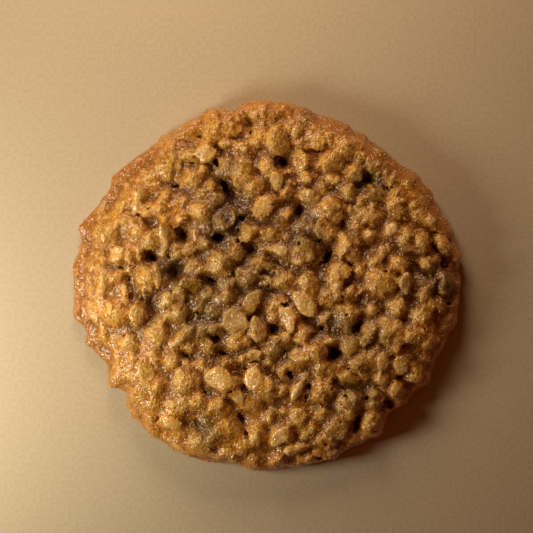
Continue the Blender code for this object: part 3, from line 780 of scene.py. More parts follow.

# Paler and browner places: partly baked tone, partly painted light and painted shade.
TONE_AND_LIGHT_BLOTCHES = (
    Blotch(-37.0, -6.0, 8.0, 1.0),
    Blotch(-29.0, -20.0, 6.0, 0.4),
    Blotch(-29.0, 22.0, 6.0, 0.5),
    Blotch(-36.0, 11.0, 6.0, 0.4),
    Blotch(-22.0, 17.0, 5.0, 0.7),
    Blotch(-9.9, 17.5, 6.0, -1.2),
    Blotch(-16.0, 9.5, 4.0, -0.5),
    Blotch(-23.0, 3.5, 4.5, -0.8),
    Blotch(-16.4, -7.5, 8.0, -0.9),
    Blotch(-4.0, 2.5, 8.0, -0.7),
    Blotch(-10.0, 36.0, 5.0, 0.5),
    Blotch(0.0, 21.0, 6.0, 0.5),
    Blotch(9.6, 13.0, 5.5, -0.8),
    Blotch(10.0, 42.0, 4.0, -0.6),
    Blotch(-9.0, 30.0, 4.0, -0.7),
    Blotch(16.0, -36.0, 4.0, -0.5),
    Blotch(16.2, 33.0, 6.0, 0.6),
    Blotch(17.0, 18.0, 4.0, 0.5),
    Blotch(25.5, 26.0, 6.5, -0.8),
    Blotch(24.0, 3.0, 4.5, 0.4),
    Blotch(34.0, 1.0, 4.5, 0.4),
    Blotch(43.0, 1.0, 6.5, -1.0),
    Blotch(41.0, -11.5, 4.0, 0.9),
    Blotch(9.6, -10.5, 4.5, 0.8),
    Blotch(16.5, -9.0, 4.0, -0.9),
    Blotch(3.0, -16.0, 4.0, -0.9),
    Blotch(-7.0, -28.0, 8.0, 1.0),
    Blotch(-24.0, -35.6, 6.0, 1.0),
    Blotch(-15.5, -35.0, 4.5, -1.4),
    Blotch(2.0, -42.0, 6.0, 0.6),
    Blotch(23.5, -27.0, 6.0, -0.8),
    Blotch(24.5, -14.0, 6.0, -0.6),
)


@dataclass
class OatBed:
    """Everything that is pressed into the dough: bare flakes, coated oats and crumbs.

    A share is of an oat's own length. The calm numbers say what the calm side takes off.
    """

    top: TopMap
    outline: Outline
    seed: int = 11
    coated: int = 640
    coated_tries: int = 60
    coated_length: tuple[float, float] = (1.9 * MM, 7.6 * MM)
    coated_slender: tuple[float, float] = (0.6, 0.95)
    coated_thickness_share: tuple[float, float] = (0.36, 0.46)
    coated_lean: float = math.radians(30.0)
    coated_sink: tuple[float, float] = (-0.35 * MM, 0.20 * MM)
    coated_sink_share: float = 0.10
    coated_gap_share: float = 0.30
    coated_lowest_mm: tuple[float, float] = (-1.2, 0.1)
    calm_sink_mm: float = 0.35
    calm_lean: float = 0.7
    calm_crumb: float = 0.35
    small_flakes: int = 26
    small_length_mm: tuple[float, float] = (2.8, 4.6)
    small_slender: tuple[float, float] = (0.55, 0.8)
    small_bareness: tuple[float, float] = (0.3, 0.7)
    small_gap_mm: float = 5.4
    flake_thickness: float = 1.25 * MM
    flake_lift: float = -0.12 * MM
    flake_lean: float = math.radians(15.0)
    flake_clear_share: float = 0.34
    crumbs: int = 2200
    crumb_radius: tuple[float, float] = (0.35 * MM, 0.9 * MM)
    crumb_lift: tuple[float, float] = (-0.75, 0.05)
    flakes: list[Flake] = field(init=False)
    flake_places: list[Matrix] = field(init=False)
    flake_tree: BVHTree = field(init=False)
    flake_faces: int = field(init=False)

    def build(self) -> list[bpy.types.Object]:
        """Makes the three kinds as meshes of their own.

        Returns:
            The meshes, which are to be melted into the dough.
        """
        rng = random.Random(self.seed)
        self.flakes = list(FLAKES) + self.more_flakes(rng)
        return [self.lay_flakes(rng), self.lay_coated_oats(rng), self.scatter_crumbs(rng)]

    def margin(self, x: float, y: float) -> float:
        """How far a place lies inside where the crags begin.

        Args:
            x: Place from the middle.
            y: Place from the middle.

        Returns:
            The distance, below 0 on the smooth edges.
        """
        inside = float(self.outline.inside(np.array([x]), np.array([y]))[0])
        return inside - max(zone.width * float(zone.share(np.array(x), np.array(y))) for zone in SMOOTH_EDGES)

    def calm(self, x: float, y: float) -> float:
        """1 where the crags are low and soft, near the front left edge."""
        return float(calmness(self.outline, np.array([x]), np.array([y]))[0])

    def more_flakes(self, rng: random.Random) -> list[Flake]:
        """Smaller flakes by a rule, clear of the named ones.

        Args:
            rng: Source of the random draws.

        Returns:
            The flakes.
        """
        found: list[Flake] = []
        while len(found) < self.small_flakes:
            x, y = random_place(rng, 3.0)
            crowded = any(math.hypot(x - f.x, y - f.y) < self.small_gap_mm for f in (*FLAKES, *found))
            if self.margin(x * MM, y * MM) > 1.5 * MM and not crowded:
                length = rng.uniform(*self.small_length_mm)
                width = length * rng.uniform(*self.small_slender)
                turn = rng.uniform(0, 360)
                found.append(Flake(x, y, length, width, turn, rng.uniform(*self.small_bareness)))
        return found

    def lay_flakes(self, rng: random.Random) -> bpy.types.Object:
        """Lays the bare flakes on the relief that is made for them.

        Args:
            rng: Source of the random draws.

        Returns:
            All of them as one mesh.
        """
        template = make_oat(24, 10)
        ground = self.top.blurred(1.0 * MM)
        self.flake_places = []
        for flake in self.flakes:
            x, y = flake.x * MM, flake.y * MM
            size = Matrix.Diagonal((flake.length * MM, flake.width * MM, self.flake_thickness, 1.0))
            height = float(self.top.read(ground, x, y)) + self.flake_lift
            normal = self.top.normal(ground, x, y, 1.6 * MM)
            turn = Matrix.Rotation(math.radians(flake.turn), 4, "Z")
            move = Matrix.Translation((x, y, height))
            self.flake_places.append(move @ lie_on(normal, self.flake_lean, rng) @ turn @ size)
        self.flake_faces = len(template.data.polygons)
        piece = joined_copies("bare_flakes", template, self.flake_places, 0.17, self.seed + 1)
        self.flake_tree = BVHTree.FromObject(piece, bpy.context.evaluated_depsgraph_get())
        return piece

    def lay_coated_oats(self, rng: random.Random) -> bpy.types.Object:
        """Lays dough-coated oats on the mounds, most of them small, and leaves the valleys open.

        Args:
            rng: Source of the random draws.

        Returns:
            All of them as one mesh.
        """
        template = make_oat(14, 8)
        ground, broad = self.top.blurred(0.7 * MM), self.top.blurred(3.5 * MM)
        short, long = self.coated_length
        places: list[Matrix] = []
        spots: list[tuple[float, float, float]] = []
        for _ in range(self.coated * self.coated_tries):
            if len(places) == self.coated:
                break
            x, y = (side * MM for side in random_place(rng))
            proud = float(self.top.read(ground, x, y) - self.top.read(broad, x, y))
            length = short + (long - short) * rng.random() ** 2
            if self.margin(x, y) < 0.5 * length or proud < rng.uniform(*self.coated_lowest_mm) * MM:
                continue
            if self.crowded(x, y, length, spots):
                continue
            spots.append((x, y, length))
            calm = self.calm(x, y)
            width = length * rng.uniform(*self.coated_slender)
            thick = length * rng.uniform(*self.coated_thickness_share)
            size = Matrix.Diagonal((length, width, thick, 1.0))
            pressed = self.coated_sink_share * length
            sink = rng.uniform(*self.coated_sink) - pressed - self.calm_sink_mm * calm * MM
            height = float(self.top.read(ground, x, y)) + sink
            turn = Matrix.Rotation(rng.uniform(0.0, FULL_TURN), 4, "Z")
            normal = self.top.normal(ground, x, y, 1.2 * MM)
            lean = self.coated_lean * (1.0 - self.calm_lean * calm)
            places.append(Matrix.Translation((x, y, height)) @ lie_on(normal, lean, rng) @ turn @ size)
        return joined_copies("coated_oats", template, places, 0.16, self.seed + 2)

    def crowded(self, x: float, y: float, length: float, spots: list[tuple[float, float, float]]) -> bool:
        """Tells whether a coated oat would lie too close to another oat.

        Args:
            x: Its place from the middle.
            y: Its place from the middle.
            length: Its length.
            spots: Places and lengths of the coated oats so far.

        Returns:
            True where there is no room for it.
        """
        if any(math.hypot(x - a, y - b) < self.coated_gap_share * (length + other) for a, b, other in spots):
            return True
        x, y = x / MM, y / MM
        return any(math.hypot(x - f.x, y - f.y) < self.flake_clear_share * f.length for f in self.flakes)

    def scatter_crumbs(self, rng: random.Random) -> bpy.types.Object:
        """Scatters small lumps of dough all over the crags.

        Args:
            rng: Source of the random draws.

        Returns:
            All of them as one mesh.
        """
        template = add_primitive(bpy.ops.mesh.primitive_ico_sphere_add, subdivisions=2, radius=1.0)
        ground = self.top.blurred(0.5 * MM)
        places: list[Matrix] = []
        while len(places) < self.crumbs:
            x, y = (side * MM for side in random_place(rng))
            if self.margin(x, y) < 1.0 * MM:
                continue
            radius = rng.uniform(*self.crumb_radius) * (1.0 - self.calm_crumb * self.calm(x, y))
            lump, spin = random_lump(radius, rng), random_spin(rng)
            height = float(self.top.read(ground, x, y)) + rng.uniform(*self.crumb_lift) * radius
            places.append(Matrix.Translation((x, y, height)) @ spin @ lump)
        return joined_copies("dough_crumbs", template, places, 0.14, self.seed + 3)

    def oat_marks(self, points: np.ndarray) -> tuple[np.ndarray, np.ndarray]:
        """How bare each point of the skin is, and how far it lies across its flake.

        Args:
            points: The skin's vertex positions.

        Returns:
            The bareness from 0 to 1, and the distance across the flake in mm.
        """
        bare, across = np.zeros(len(points)), np.zeros(len(points))
        backs = [place.inverted() for place in self.flake_places]
        for index, point in enumerate(points):
            found = self.flake_tree.find_nearest(Vector(point), 0.5 * MM)
            if found[0] is None:
                continue
            number = found[2] // self.flake_faces
            local = backs[number] @ Vector(point)
            near = 1.0 - (found[3] / MM - 0.22) / 0.26
            rim = 1.0 - abs(local.x * local.x + local.y * local.y) / 0.30
            if local.z > -0.25:
                bare[index] = min(max(near, 0.0), 1.0) * self.flakes[number].bare * min(1.0, 0.6 + rim)
                across[index] = local.y * self.flakes[number].width
        return bare, across


@dataclass
class Crust:
    """The dough with all that is in it, melted into one skin."""

    voxel: float = 0.31 * MM
    first_voxel: float = 0.50 * MM
    fill_rounds: int = 12
    fill_share: float = 0.58
    grain_size: float = 0.62 * MM
    grain_rise: float = 0.12 * MM
    swell_size: float = 1.6 * MM
    swell_rise: float = 0.22 * MM
    edge_size: float = 2.6 * MM
    edge_rise: float = 0.55 * MM
    edge_width: float = 6.0 * MM
    pit_warp_size: float = 1.3 * MM
    pit_warp_mm: float = 0.55
    base_height: float = 0.8 * MM
    over_top: float = 0.28 * MM
    most_triangles: int = 192000
    piece: bpy.types.Object = field(init=False)
    outline: Outline = field(init=False)
    bed: OatBed = field(init=False)

    def build(self) -> bpy.types.Object:
        """Makes the crust's mesh with its attributes.

        Returns:
            The piece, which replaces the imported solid.
        """
        self.piece = self.copy_of_solid()
        apply_modifier(self.piece, "REMESH", mode="VOXEL", voxel_size=self.first_voxel)
        apply_modifier(self.piece, "SMOOTH", factor=0.5, iterations=4)
        self.push_knobs()
        self.outline = Outline(points_of(self.piece.data))
        surface = BVHTree.FromObject(self.piece, bpy.context.evaluated_depsgraph_get())
        self.bed = OatBed(TopMap(surface), self.outline)
        only_selected(self.piece, *self.bed.build())
        bpy.ops.object.join()
        apply_modifier(self.piece, "REMESH", mode="VOXEL", voxel_size=self.voxel)
        apply_modifier(self.piece, "SMOOTH", factor=0.5, iterations=1)
        self.fill_creases()
        self.carve()
        self.thin_underside()
        share = self.most_triangles / max(triangles_of(self.piece), self.most_triangles)
        apply_modifier(self.piece, "DECIMATE", ratio=share)
        self.grain()
        self.mark()
        self.piece.data.shade_smooth()
        return self.piece

    def copy_of_solid(self) -> bpy.types.Object:
        """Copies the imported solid's mesh and merges its loose triangles.

        Returns:
            The copy, in an object of its own.
        """
        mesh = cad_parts[NODE].data.copy()
        mesh.name = "crust"
        mesh.materials.clear()
        piece = linked("crust", mesh)
        only_selected(piece)
        bpy.ops.object.mode_set(mode="EDIT")
        bpy.ops.mesh.select_all(action="SELECT")
        bpy.ops.mesh.remove_doubles(threshold=0.001 * MM)
        bpy.ops.object.mode_set(mode="OBJECT")
        return piece

    def push_knobs(self) -> None:
        """Moves the edge out at its bulges and in at its notches."""
        points = points_of(self.piece.data)
        turn = np.degrees(np.arctan2(points[:, 1], points[:, 0]))
        radius = np.hypot(points[:, 0], points[:, 1])
        near = ramp(radius, 38.0 * MM, 8.0 * MM)
        move = sum(knob.push(turn) for knob in KNOBS)
        points[:, :2] *= (1.0 + near * move / np.maximum(radius, 1.0 * MM))[:, None]
        set_points(self.piece.data, points)

    def fill_creases(self) -> None:
        """Lifts the narrow creases between lumps, as dough that runs together does."""
        mesh = self.piece.data
        points = points_of(mesh)
        rise = hollowness(mesh, self.fill_rounds)
        calm = calmness(self.outline, points[:, 0], points[:, 1])
        lowered = rise * (0.12 + 0.5 * calm)
        raised = rise * (self.fill_share + (1.0 - self.fill_share) * calm)
        rise = np.where(rise > 0.0, raised, lowered)
        set_points(mesh, self.within_box(points + normals_of(mesh) * rise[:, None]))

    def within_box(self, points: np.ndarray) -> np.ndarray:
        """Keeps points over the base and eases them below the highest crag of the solid.

        Args:
            points: Vertex positions, which are changed.

        Returns:
            The same positions, all of them inside.
        """
        limit = CAD_BOX[1][2] + self.over_top
        knee = limit - 1.0 * MM
        height = np.clip(points[:, 2], 0.0, None)
        eased = knee + (limit - knee) * np.tanh((height - knee) / (limit - knee))
        points[:, 2] = np.where(height > knee, eased, height)
        return points

    def carve(self) -> None:
        """Sinks the named pits and keeps the painted shade of their floors as marks for the finish."""
        mesh = self.piece.data
        points = points_of(mesh)
        warp = at_points(points, lambda at: noise.turbulence_vector(at / self.pit_warp_size, 2, False))
        x, y = (points[:, axis] / MM + self.pit_warp_mm * warp[:, axis] for axis in (0, 1))
        upward = normals_of(mesh)[:, 2] > -0.2
        sink, mark = np.zeros(len(points)), np.zeros(len(points))
        for pit in PITS:
            away = pit.away(x, y)
            sink = np.maximum(sink, pit.sink() * MM * (1.0 - ramp(away, 0.20, 1.0)))
            # The pit floor's painted shade, strongest at its middle.
            mark = np.maximum(mark, pit.floor_shade() * (1.0 - ramp(away, 0.30, 0.90)))
        high = ramp(points[:, 2], 1.0 * MM, 2.0 * MM)
        points[:, 2] -= np.minimum(sink * upward * high, points[:, 2] - self.base_height).clip(0.0)
        set_points(mesh, points)
        store(mesh, Attribute.PIT, mark * upward)

    def thin_underside(self) -> None:
        """Spends few faces on the flat underside."""
        only_selected(self.piece)
        bpy.ops.object.mode_set(mode="EDIT")
        bpy.ops.mesh.select_mode(type="FACE")
        bpy.ops.mesh.select_all(action="DESELECT")
        shell = bmesh.from_edit_mesh(self.piece.data)
        for face in shell.faces:
            flat = face.normal.z < -0.9 and face.calc_center_median().z < 0.6 * MM
            face.select_set(flat)
        bmesh.update_edit_mesh(self.piece.data)
        bpy.ops.mesh.decimate(ratio=0.10)
        bpy.ops.object.mode_set(mode="OBJECT")

    def grain(self) -> None:
        """Adds the fine granular relief of the baked dough, less of it on bare flakes."""
        mesh = self.piece.data
        points = points_of(mesh)
        bare, across = self.bed.oat_marks(points)
        store(mesh, Attribute.OAT, bare)
        store(mesh, Attribute.RIB, across)
        rise = at_points(points, self.grain_at)
        edge = 1.0 - ramp(self.outline.inside(points[:, 0], points[:, 1]), 0.0, self.edge_width)
        rolls = at_points(points, lambda at: noise.noise(at / self.edge_size))
        rise += self.edge_rise * edge * rolls
        upward = ramp(points[:, 2], self.base_height, 1.2 * MM)
        points += normals_of(mesh) * (rise * upward * (1.0 - 0.65 * bare))[:, None]
        set_points(mesh, self.within_box(points))

    def grain_at(self, place: Vector) -> float:
        """Height of the fine relief at one place."""
        swell = self.swell_rise * noise.noise(place / self.swell_size)
        return self.grain_rise * (0.55 - noise.voronoi(place / self.grain_size)[0][0]) + swell

    def mark(self) -> None:
        """Stores what the finish reads of the relief and of the place on the cookie, among it the masks of
        painted highlight and painted shade.
        """
        mesh = self.piece.data
        x, y, z = points_of(mesh).T
        fine, broad = hollowness(mesh, 5), hollowness(mesh, 36)
        top = TopMap(BVHTree.FromObject(self.piece, bpy.context.evaluated_depsgraph_get()))
        below = top.read(top.envelope(3.5 * MM), x, y) - z
        inside = self.outline.inside(x, y)
        # The skirt keeps its own darker dough colour; on the bare side, which faces away from the lamp, the
        # same colour is painted shade.
        smooth = [zone.share(x, y) * (1.0 - ramp(inside, zone.width, 1.8 * MM)) for zone in SMOOTH_EDGES]
        tone_and_light = np.full(len(x), 0.5)
        for blotch in TONE_AND_LIGHT_BLOTCHES:
            tone_and_light += blotch.shift(x / MM, y / MM)
        marks = {
            # The hollow mark: painted shade in the concave places of the relief.
            Attribute.HOLLOW: smooth_step(0.5 + (fine * 0.8 + broad * 0.5) / (0.9 * MM)),
            # The peak mark: painted highlight on the proud places of the relief.
            Attribute.PEAK: smooth_step(0.5 - (fine * 0.9 + broad * 0.35) / (0.7 * MM)),
            # The depth mark: painted shade in the broad valleys below the tops around them.
            Attribute.DEPTH: ramp(below, 0.8 * MM, 2.8 * MM) * ramp(inside, 5.0 * MM, 9.0 * MM),
            Attribute.RIM: 1.0 - ramp(inside, 0.5 * MM, 7.0 * MM),
            Attribute.SKIRT: np.maximum(*smooth),
            # The tone mark: baked tone with painted light and shade.
            Attribute.TONE: tone_and_light.clip(0.0, 1.0),
            Attribute.UNDER: 1.0 - ramp(z, 0.3 * MM, 1.6 * MM),
        }
        for name, values in marks.items():
            store(mesh, name, values)


@dataclass
class Grains:
    """Fine grains that glint on the crust."""

    crust: Crust
    name: str
    count: int
    radius: tuple[float, float]
    sides: int
    rings: int
    seed: int
    lowest: float = 1.2 * MM
    barest: float = 0.62
    darkest: float = 0.22

    def build(self) -> bpy.types.Object:
        """Scatters the grains over the crust's own points, off the bare oats and the dark places.

        Returns:
            All of them as one piece.
        """
        rng = random.Random(self.seed)
        operator = bpy.ops.mesh.primitive_uv_sphere_add
        template = add_primitive(operator, segments=self.sides, ring_count=self.rings, radius=1.0)
        apply_modifier(template, "TRIANGULATE")
        mesh = self.crust.piece.data
        points, normals = points_of(mesh), normals_of(mesh)
        open_top = (points[:, 2] > self.lowest) & (normals[:, 2] > -0.1)
        doughy = values_of(mesh, Attribute.OAT) < self.barest
        usable = np.flatnonzero(open_top & doughy & (values_of(mesh, Attribute.TONE) > self.darkest))
        places = []
        for _ in range(self.count):
            index = usable[rng.randrange(len(usable))]
            radius = rng.uniform(*self.radius)
            spin, lump = random_spin(rng), random_lump(radius, rng)
            slide = Vector([rng.uniform(-0.5, 0.5) * radius for _ in range(3)])
            place = Vector(points[index]) - Vector(normals[index]) * radius * rng.uniform(0.0, 0.4) + slide
            places.append(Matrix.Translation(place) @ spin @ lump)
        piece = joined_copies(self.name, template, places, 0.1, self.seed)
        piece.data.shade_smooth()
        return piece


class Graph:
    """Builds a material's nodes."""

    def __init__(self, name: str) -> None:
        """Starts an empty Principled material.

        Args:
            name: Name of the material.
        """
        self.material = bpy.data.materials.new(name)
        self.material.use_nodes = True
        self.tree = self.material.node_tree
        self.shader = self.tree.nodes["Principled BSDF"]
        self.place = self.node("ShaderNodeTexCoord", {}, "Object")

    def node(
        self, kind: str, feeds: dict[str | int, object], output: str | int = 0, **settings: object
    ) -> bpy.types.NodeSocket:
        """Adds a node and fills its inputs.

        Args:
            kind: Blender's name of the node's type.
            feeds: What goes into its inputs, by their names or numbers.
            output: The output that is wanted.
            **settings: Values to set on the node itself.

        Returns:
            That output.
        """
        made = self.tree.nodes.new(kind)
        for name, value in settings.items():
            setattr(made, name, value)
        for name, value in feeds.items():
            self.feed(made.inputs[name], value)
        return made.outputs[output]

    def feed(self, socket: bpy.types.NodeSocket, value: object) -> None:
        """Links a socket to an output, or sets its value.

        Args:
            socket: The input to fill.
            value: An output socket, a per-vertex attribute, a number or a colour.
        """
        if isinstance(value, Attribute):
            value = self.node("ShaderNodeAttribute", {}, "Fac", attribute_name=value.value)
        if isinstance(value, bpy.types.NodeSocket):
            self.tree.links.new(value, socket)
        elif isinstance(value, tuple) and len(value) == 3 and socket.type == "RGBA":
            socket.default_value = (*value, 1.0)
        else:
            socket.default_value = value

    def noise(self, size: float, detail: float = 2.0, rough: float = 0.5) -> bpy.types.NodeSocket:
        """Soft noise of this grain size, from 0 to 1."""
        feeds = {"Vector": self.place, "Scale": 1.0 / size, "Detail": detail, "Roughness": rough}
        return self.node("ShaderNodeTexNoise", feeds, "Fac")

    def cells(self, size: float, output: str = "Distance") -> bpy.types.NodeSocket:
        """Scattered points this far apart: the distance to the nearest, or its chance colour."""
        feeds = {"Vector": self.place, "Scale": 1.0 / size}
        return self.node("ShaderNodeTexVoronoi", feeds, output, feature="F1")

    def times(self, first: object, second: object) -> bpy.types.NodeSocket:
        """The product of two numbers."""
        return self.node("ShaderNodeMath", {0: first, 1: second}, operation="MULTIPLY")

    def vector(self, operation: str, feeds: dict[str | int, object]) -> bpy.types.NodeSocket:
        """One sum on vectors."""
        return self.node("ShaderNodeVectorMath", feeds, operation=operation)

    def span(
        self, value: object, low: float, high: float, out_low: float = 0.0, out_high: float = 1.0
    ) -> bpy.types.NodeSocket:
        """Maps a range of numbers smoothly to another.

        Args:
            value: The number to map.
            low: Start of its range.
            high: End of its range.
            out_low: Result at the start.
            out_high: Result at the end.

        Returns:
            The mapped number.
        """
        feeds = dict(enumerate((value, low, high, out_low, out_high)))
        return self.node("ShaderNodeMapRange", feeds, "Result", interpolation_type="SMOOTHSTEP")

    def mix(self, share: object, first: object, second: object) -> bpy.types.NodeSocket:
        """Blends two colours."""
        feeds = {"Factor": share, 6: first, 7: second}
        return self.node("ShaderNodeMix", feeds, 2, data_type="RGBA", clamp_result=True)

    def lay(
        self, colour: object, tint: object, value: object, low: float, high: float, most: float = 1.0
    ) -> bpy.types.NodeSocket:
        """Lays a tint on a colour where a value says so.

        Args:
            colour: The colour below.
            tint: The colour that is laid on it.
            value: The number that decides.
            low: Where the tint begins.
            high: Where there is most of it.
            most: Its share there.

        Returns:
            The blended colour.
        """
        return self.mix(self.span(value, low, high, 0.0, most), colour, tint)

    def scaled(self, colour: object, value: object) -> bpy.types.NodeSocket:
        """Makes a colour brighter or darker."""
        return self.node("ShaderNodeHueSaturation", {"Color": colour, "Value": value}, "Color")

    def bump(self, height: object, depth: float, below: object = None) -> bpy.types.NodeSocket:
        """Turns a height from 0 to 1 into a normal.

        Args:
            height: The relief.
            depth: How deep it is, in metres.
            below: A coarser normal that this one lies on.

        Returns:
            The normal.
        """
        feeds = {"Height": height, "Distance": depth}
        if below is not None:
            feeds["Normal"] = below
        return self.node("ShaderNodeBump", feeds, "Normal")

    def glints(self, size: float, tilt: float, below: bpy.types.NodeSocket) -> bpy.types.NodeSocket:
        """Tilts a normal by chance in every small cell, as grains of sugar do.

        Args:
            size: How far apart the cells are.
            tilt: How far they tilt.
            below: The normal that is tilted.

        Returns:
            The tilted normal.
        """
        centred = self.vector("SUBTRACT", {0: self.cells(size, "Color"), 1: (0.5, 0.5, 0.5)})
        tilted = self.vector("ADD", {0: self.vector("SCALE", {0: centred, "Scale": tilt}), 1: below})
        return self.vector("NORMALIZE", {0: tilted})

    def finish(
        self, colour: object, roughness: object, normal: object, **fixed: object
    ) -> bpy.types.Material:
        """Feeds the shader.

        Args:
            colour: Base colour.
            roughness: Roughness.
            normal: Surface normal.
            **fixed: Further inputs by their names, with underscores for spaces.

        Returns:
            The finished material.
        """
        for name, value in (fixed | {"Base_Color": colour, "Roughness": roughness, "Normal": normal}).items():
            self.feed(self.shader.inputs[name.replace("_", " ")], value)
        return self.material


@dataclass(frozen=True)
class DoughFinish:
    """Baked dough, golden and brown with paler bare oats: paler on the peaks as a painted highlight, darker
    in the hollows, valleys and pits as painted shade.
    """

    name: str = "baked_dough"
    golden: Colour = (0.69, 0.266, 0.010)
    olive: Colour = (0.54, 0.270, 0.028)
    brown: Colour = (0.42, 0.145, 0.006)
    # Paler dough in the speckle, and the colour of the painted highlight on peaks and grain tops.
    pale_and_highlight: Colour = (0.98, 0.615, 0.130)
    # Colour of the painted glints.
    glint_colour: Colour = (1.00, 0.820, 0.520)
    rim: Colour = (0.68, 0.250, 0.024)
    # The skirt's own darker dough, and painted shade on the bare side that faces away from the lamp.
    skirt_and_side_shade: Colour = (0.48, 0.155, 0.016)
    # Colour of the painted shade in the hollows and in the gaps between grains.
    hollow_shade: Colour = (0.27, 0.100, 0.006)
    shade: Colour = (0.190, 0.066, 0.004)
    pit_shade: Colour = (0.100, 0.030, 0.003)
    oat: Colour = (1.00, 0.750, 0.330)
    # Colour of the painted shade on the pit floors.
    toasted: Colour = (0.70, 0.340, 0.045)
    under: Colour = (0.33, 0.115, 0.018)

    def build(self) -> bpy.types.Material:
        """Makes the node material.

        Returns:
            The material.
        """
        graph = Graph(self.name)
        speckle = graph.noise(0.8 * MM, 3.0, 0.6)
        kernels = graph.cells(0.66 * MM)
        doughy = graph.span(Attribute.OAT, 0.2, 0.9, 1.0, 0.4)
        normal = self.relief(graph, kernels, doughy)
        return graph.finish(
            self.bake(graph, speckle, kernels, doughy),
            graph.span(speckle, 0.3, 0.7, 0.28, 0.56),
            normal,
            Subsurface_Weight=0.15,
            Subsurface_Radius=(1.0, 0.45, 0.15),
            Subsurface_Scale=0.5 * MM,
            Specular_IOR_Level=0.5,
            Specular_Tint=(1.0, 0.80, 0.42, 1.0),
            Coat_Weight=0.8,
            Coat_Roughness=0.12,
            Coat_IOR=1.7,
            Coat_Normal=graph.glints(0.46 * MM, 0.45, normal),
        )

    def bake(self, graph: Graph, speckle: object, kernels: object, doughy: object) -> bpy.types.NodeSocket:
        """Lays the dough's colours on one another, from the broad patches to the pits, with painted highlight
        on peaks and grain tops, painted glints in specks, and painted shade in gaps, hollows, valleys and
        pits.

        Args:
            graph: The material that is being built.
            speckle: Fine noise.
            kernels: Distance to the nearest grain.
            doughy: 1 on dough, less on bare oats.

        Returns:
            The colour.
        """
        pepper = graph.noise(0.50 * MM, 2.0, 0.6)
        colour = graph.lay(self.brown, self.golden, graph.noise(5.0 * MM), 0.35, 0.65)
        colour = graph.lay(colour, self.olive, graph.noise(3.2 * MM), 0.50, 0.64, 0.5)
        # Paler places of the tone mark: partly baked tone, partly painted light.
        colour = graph.scaled(colour, graph.span(Attribute.TONE, 0.5, 1.0, 1.0, 1.7))
        colour = graph.lay(colour, self.brown, speckle, 0.48, 0.36, 0.7)
        colour = graph.lay(colour, self.pale_and_highlight, speckle, 0.50, 0.64, 0.45)
        # Painted highlight on the peaks.
        colour = graph.lay(colour, self.pale_and_highlight, Attribute.PEAK, 0.55, 0.92, 0.62)
        colour = graph.lay(colour, self.rim, Attribute.RIM, 0.0, 1.0, 0.7)
        # Skirt colour: the skirt's own darker dough, and painted shade on the bare side.
        colour = graph.mix(graph.times(Attribute.SKIRT, 0.75), colour, self.skirt_and_side_shade)
        colour = self.lay_oats(graph, colour, speckle)
        # Painted highlight on the tops of the small grain domes, where the pepper noise is high.
        grain_top_highlight = graph.times(graph.span(kernels, 0.42, 0.12), graph.span(pepper, 0.42, 0.58))
        colour = graph.mix(graph.times(grain_top_highlight, 0.65), colour, self.pale_and_highlight)
        # Painted shade in the gaps between the grain domes and in the fine pepper pores.
        for value, low, high in ((kernels, 0.48, 0.85), (pepper, 0.46, 0.32)):
            gap_shade = graph.times(graph.span(value, low, high, 0.0, 0.42), doughy)
            colour = graph.mix(gap_shade, colour, self.hollow_shade)
        # Painted shade in the hollows of the relief.
        colour = graph.lay(colour, self.hollow_shade, Attribute.HOLLOW, 0.5, 0.95, 0.80)
        # Painted shade in the broad valleys.
        colour = graph.lay(colour, self.shade, Attribute.DEPTH, 0.0, 1.0, 0.9)
        # Painted glints: bright specks laid into the colour, in patches.
        sparse = graph.span(graph.noise(1.6 * MM), 0.42, 0.60, 0.0, 0.95)
        painted_glints = graph.times(graph.span(graph.cells(0.52 * MM), 0.35, 0.16), sparse)
        colour = graph.mix(painted_glints, colour, self.glint_colour)
        # Browner places of the tone mark: partly baked tone, partly painted shade.
        colour = graph.scaled(colour, graph.span(Attribute.TONE, 0.0, 0.5, 0.40, 1.0))
        # Painted shade on the pit floors.
        colour = graph.lay(colour, self.pit_shade, Attribute.PIT, 0.1, 0.9)
        return graph.mix(Attribute.UNDER, colour, self.under)

    def lay_oats(self, graph: Graph, colour: object, speckle: object) -> bpy.types.NodeSocket:
        """Colours the bare oats, with dough left on them in patches.

        Args:
            graph: The material that is being built.
            colour: Colour of the dough.
            speckle: Fine noise.

        Returns:
            The dough's colour with the oats laid in.
        """
        toast = graph.lay(self.oat, self.toasted, graph.noise(1.8 * MM, 3.0, 0.6), 0.42, 0.64)
        clean = graph.span(graph.noise(1.3 * MM, 3.0, 0.7), 0.43, 0.57, 0.95, 0.15)
        share = graph.times(graph.span(Attribute.OAT, 0.10, 0.95), clean)
        share = graph.times(share, graph.span(speckle, 0.32, 0.55, 0.5, 1.0))
        return graph.mix(share, colour, toast)

    def relief(self, graph: Graph, kernels: object, doughy: object) -> bpy.types.NodeSocket:
        """Makes the relief that is too fine for the mesh: swells, grains, pores and the oats' ribs.

        Args:
            graph: The material that is being built.
            kernels: Distance to the nearest grain.
            doughy: 1 on dough, less on bare oats.

        Returns:
            The normal.
        """
        normal = graph.bump(graph.noise(1.1 * MM), 0.25 * MM)
        normal = graph.bump(graph.times(graph.times(kernels, -1.0), doughy), 0.16 * MM, normal)
        normal = graph.bump(graph.times(graph.noise(0.28 * MM), doughy), 0.07 * MM, normal)
        ribs = graph.node("ShaderNodeMath", {0: graph.times(Attribute.RIB, 7.0)}, operation="SINE")
        return graph.bump(graph.times(ribs, Attribute.OAT), 0.016 * MM, normal)


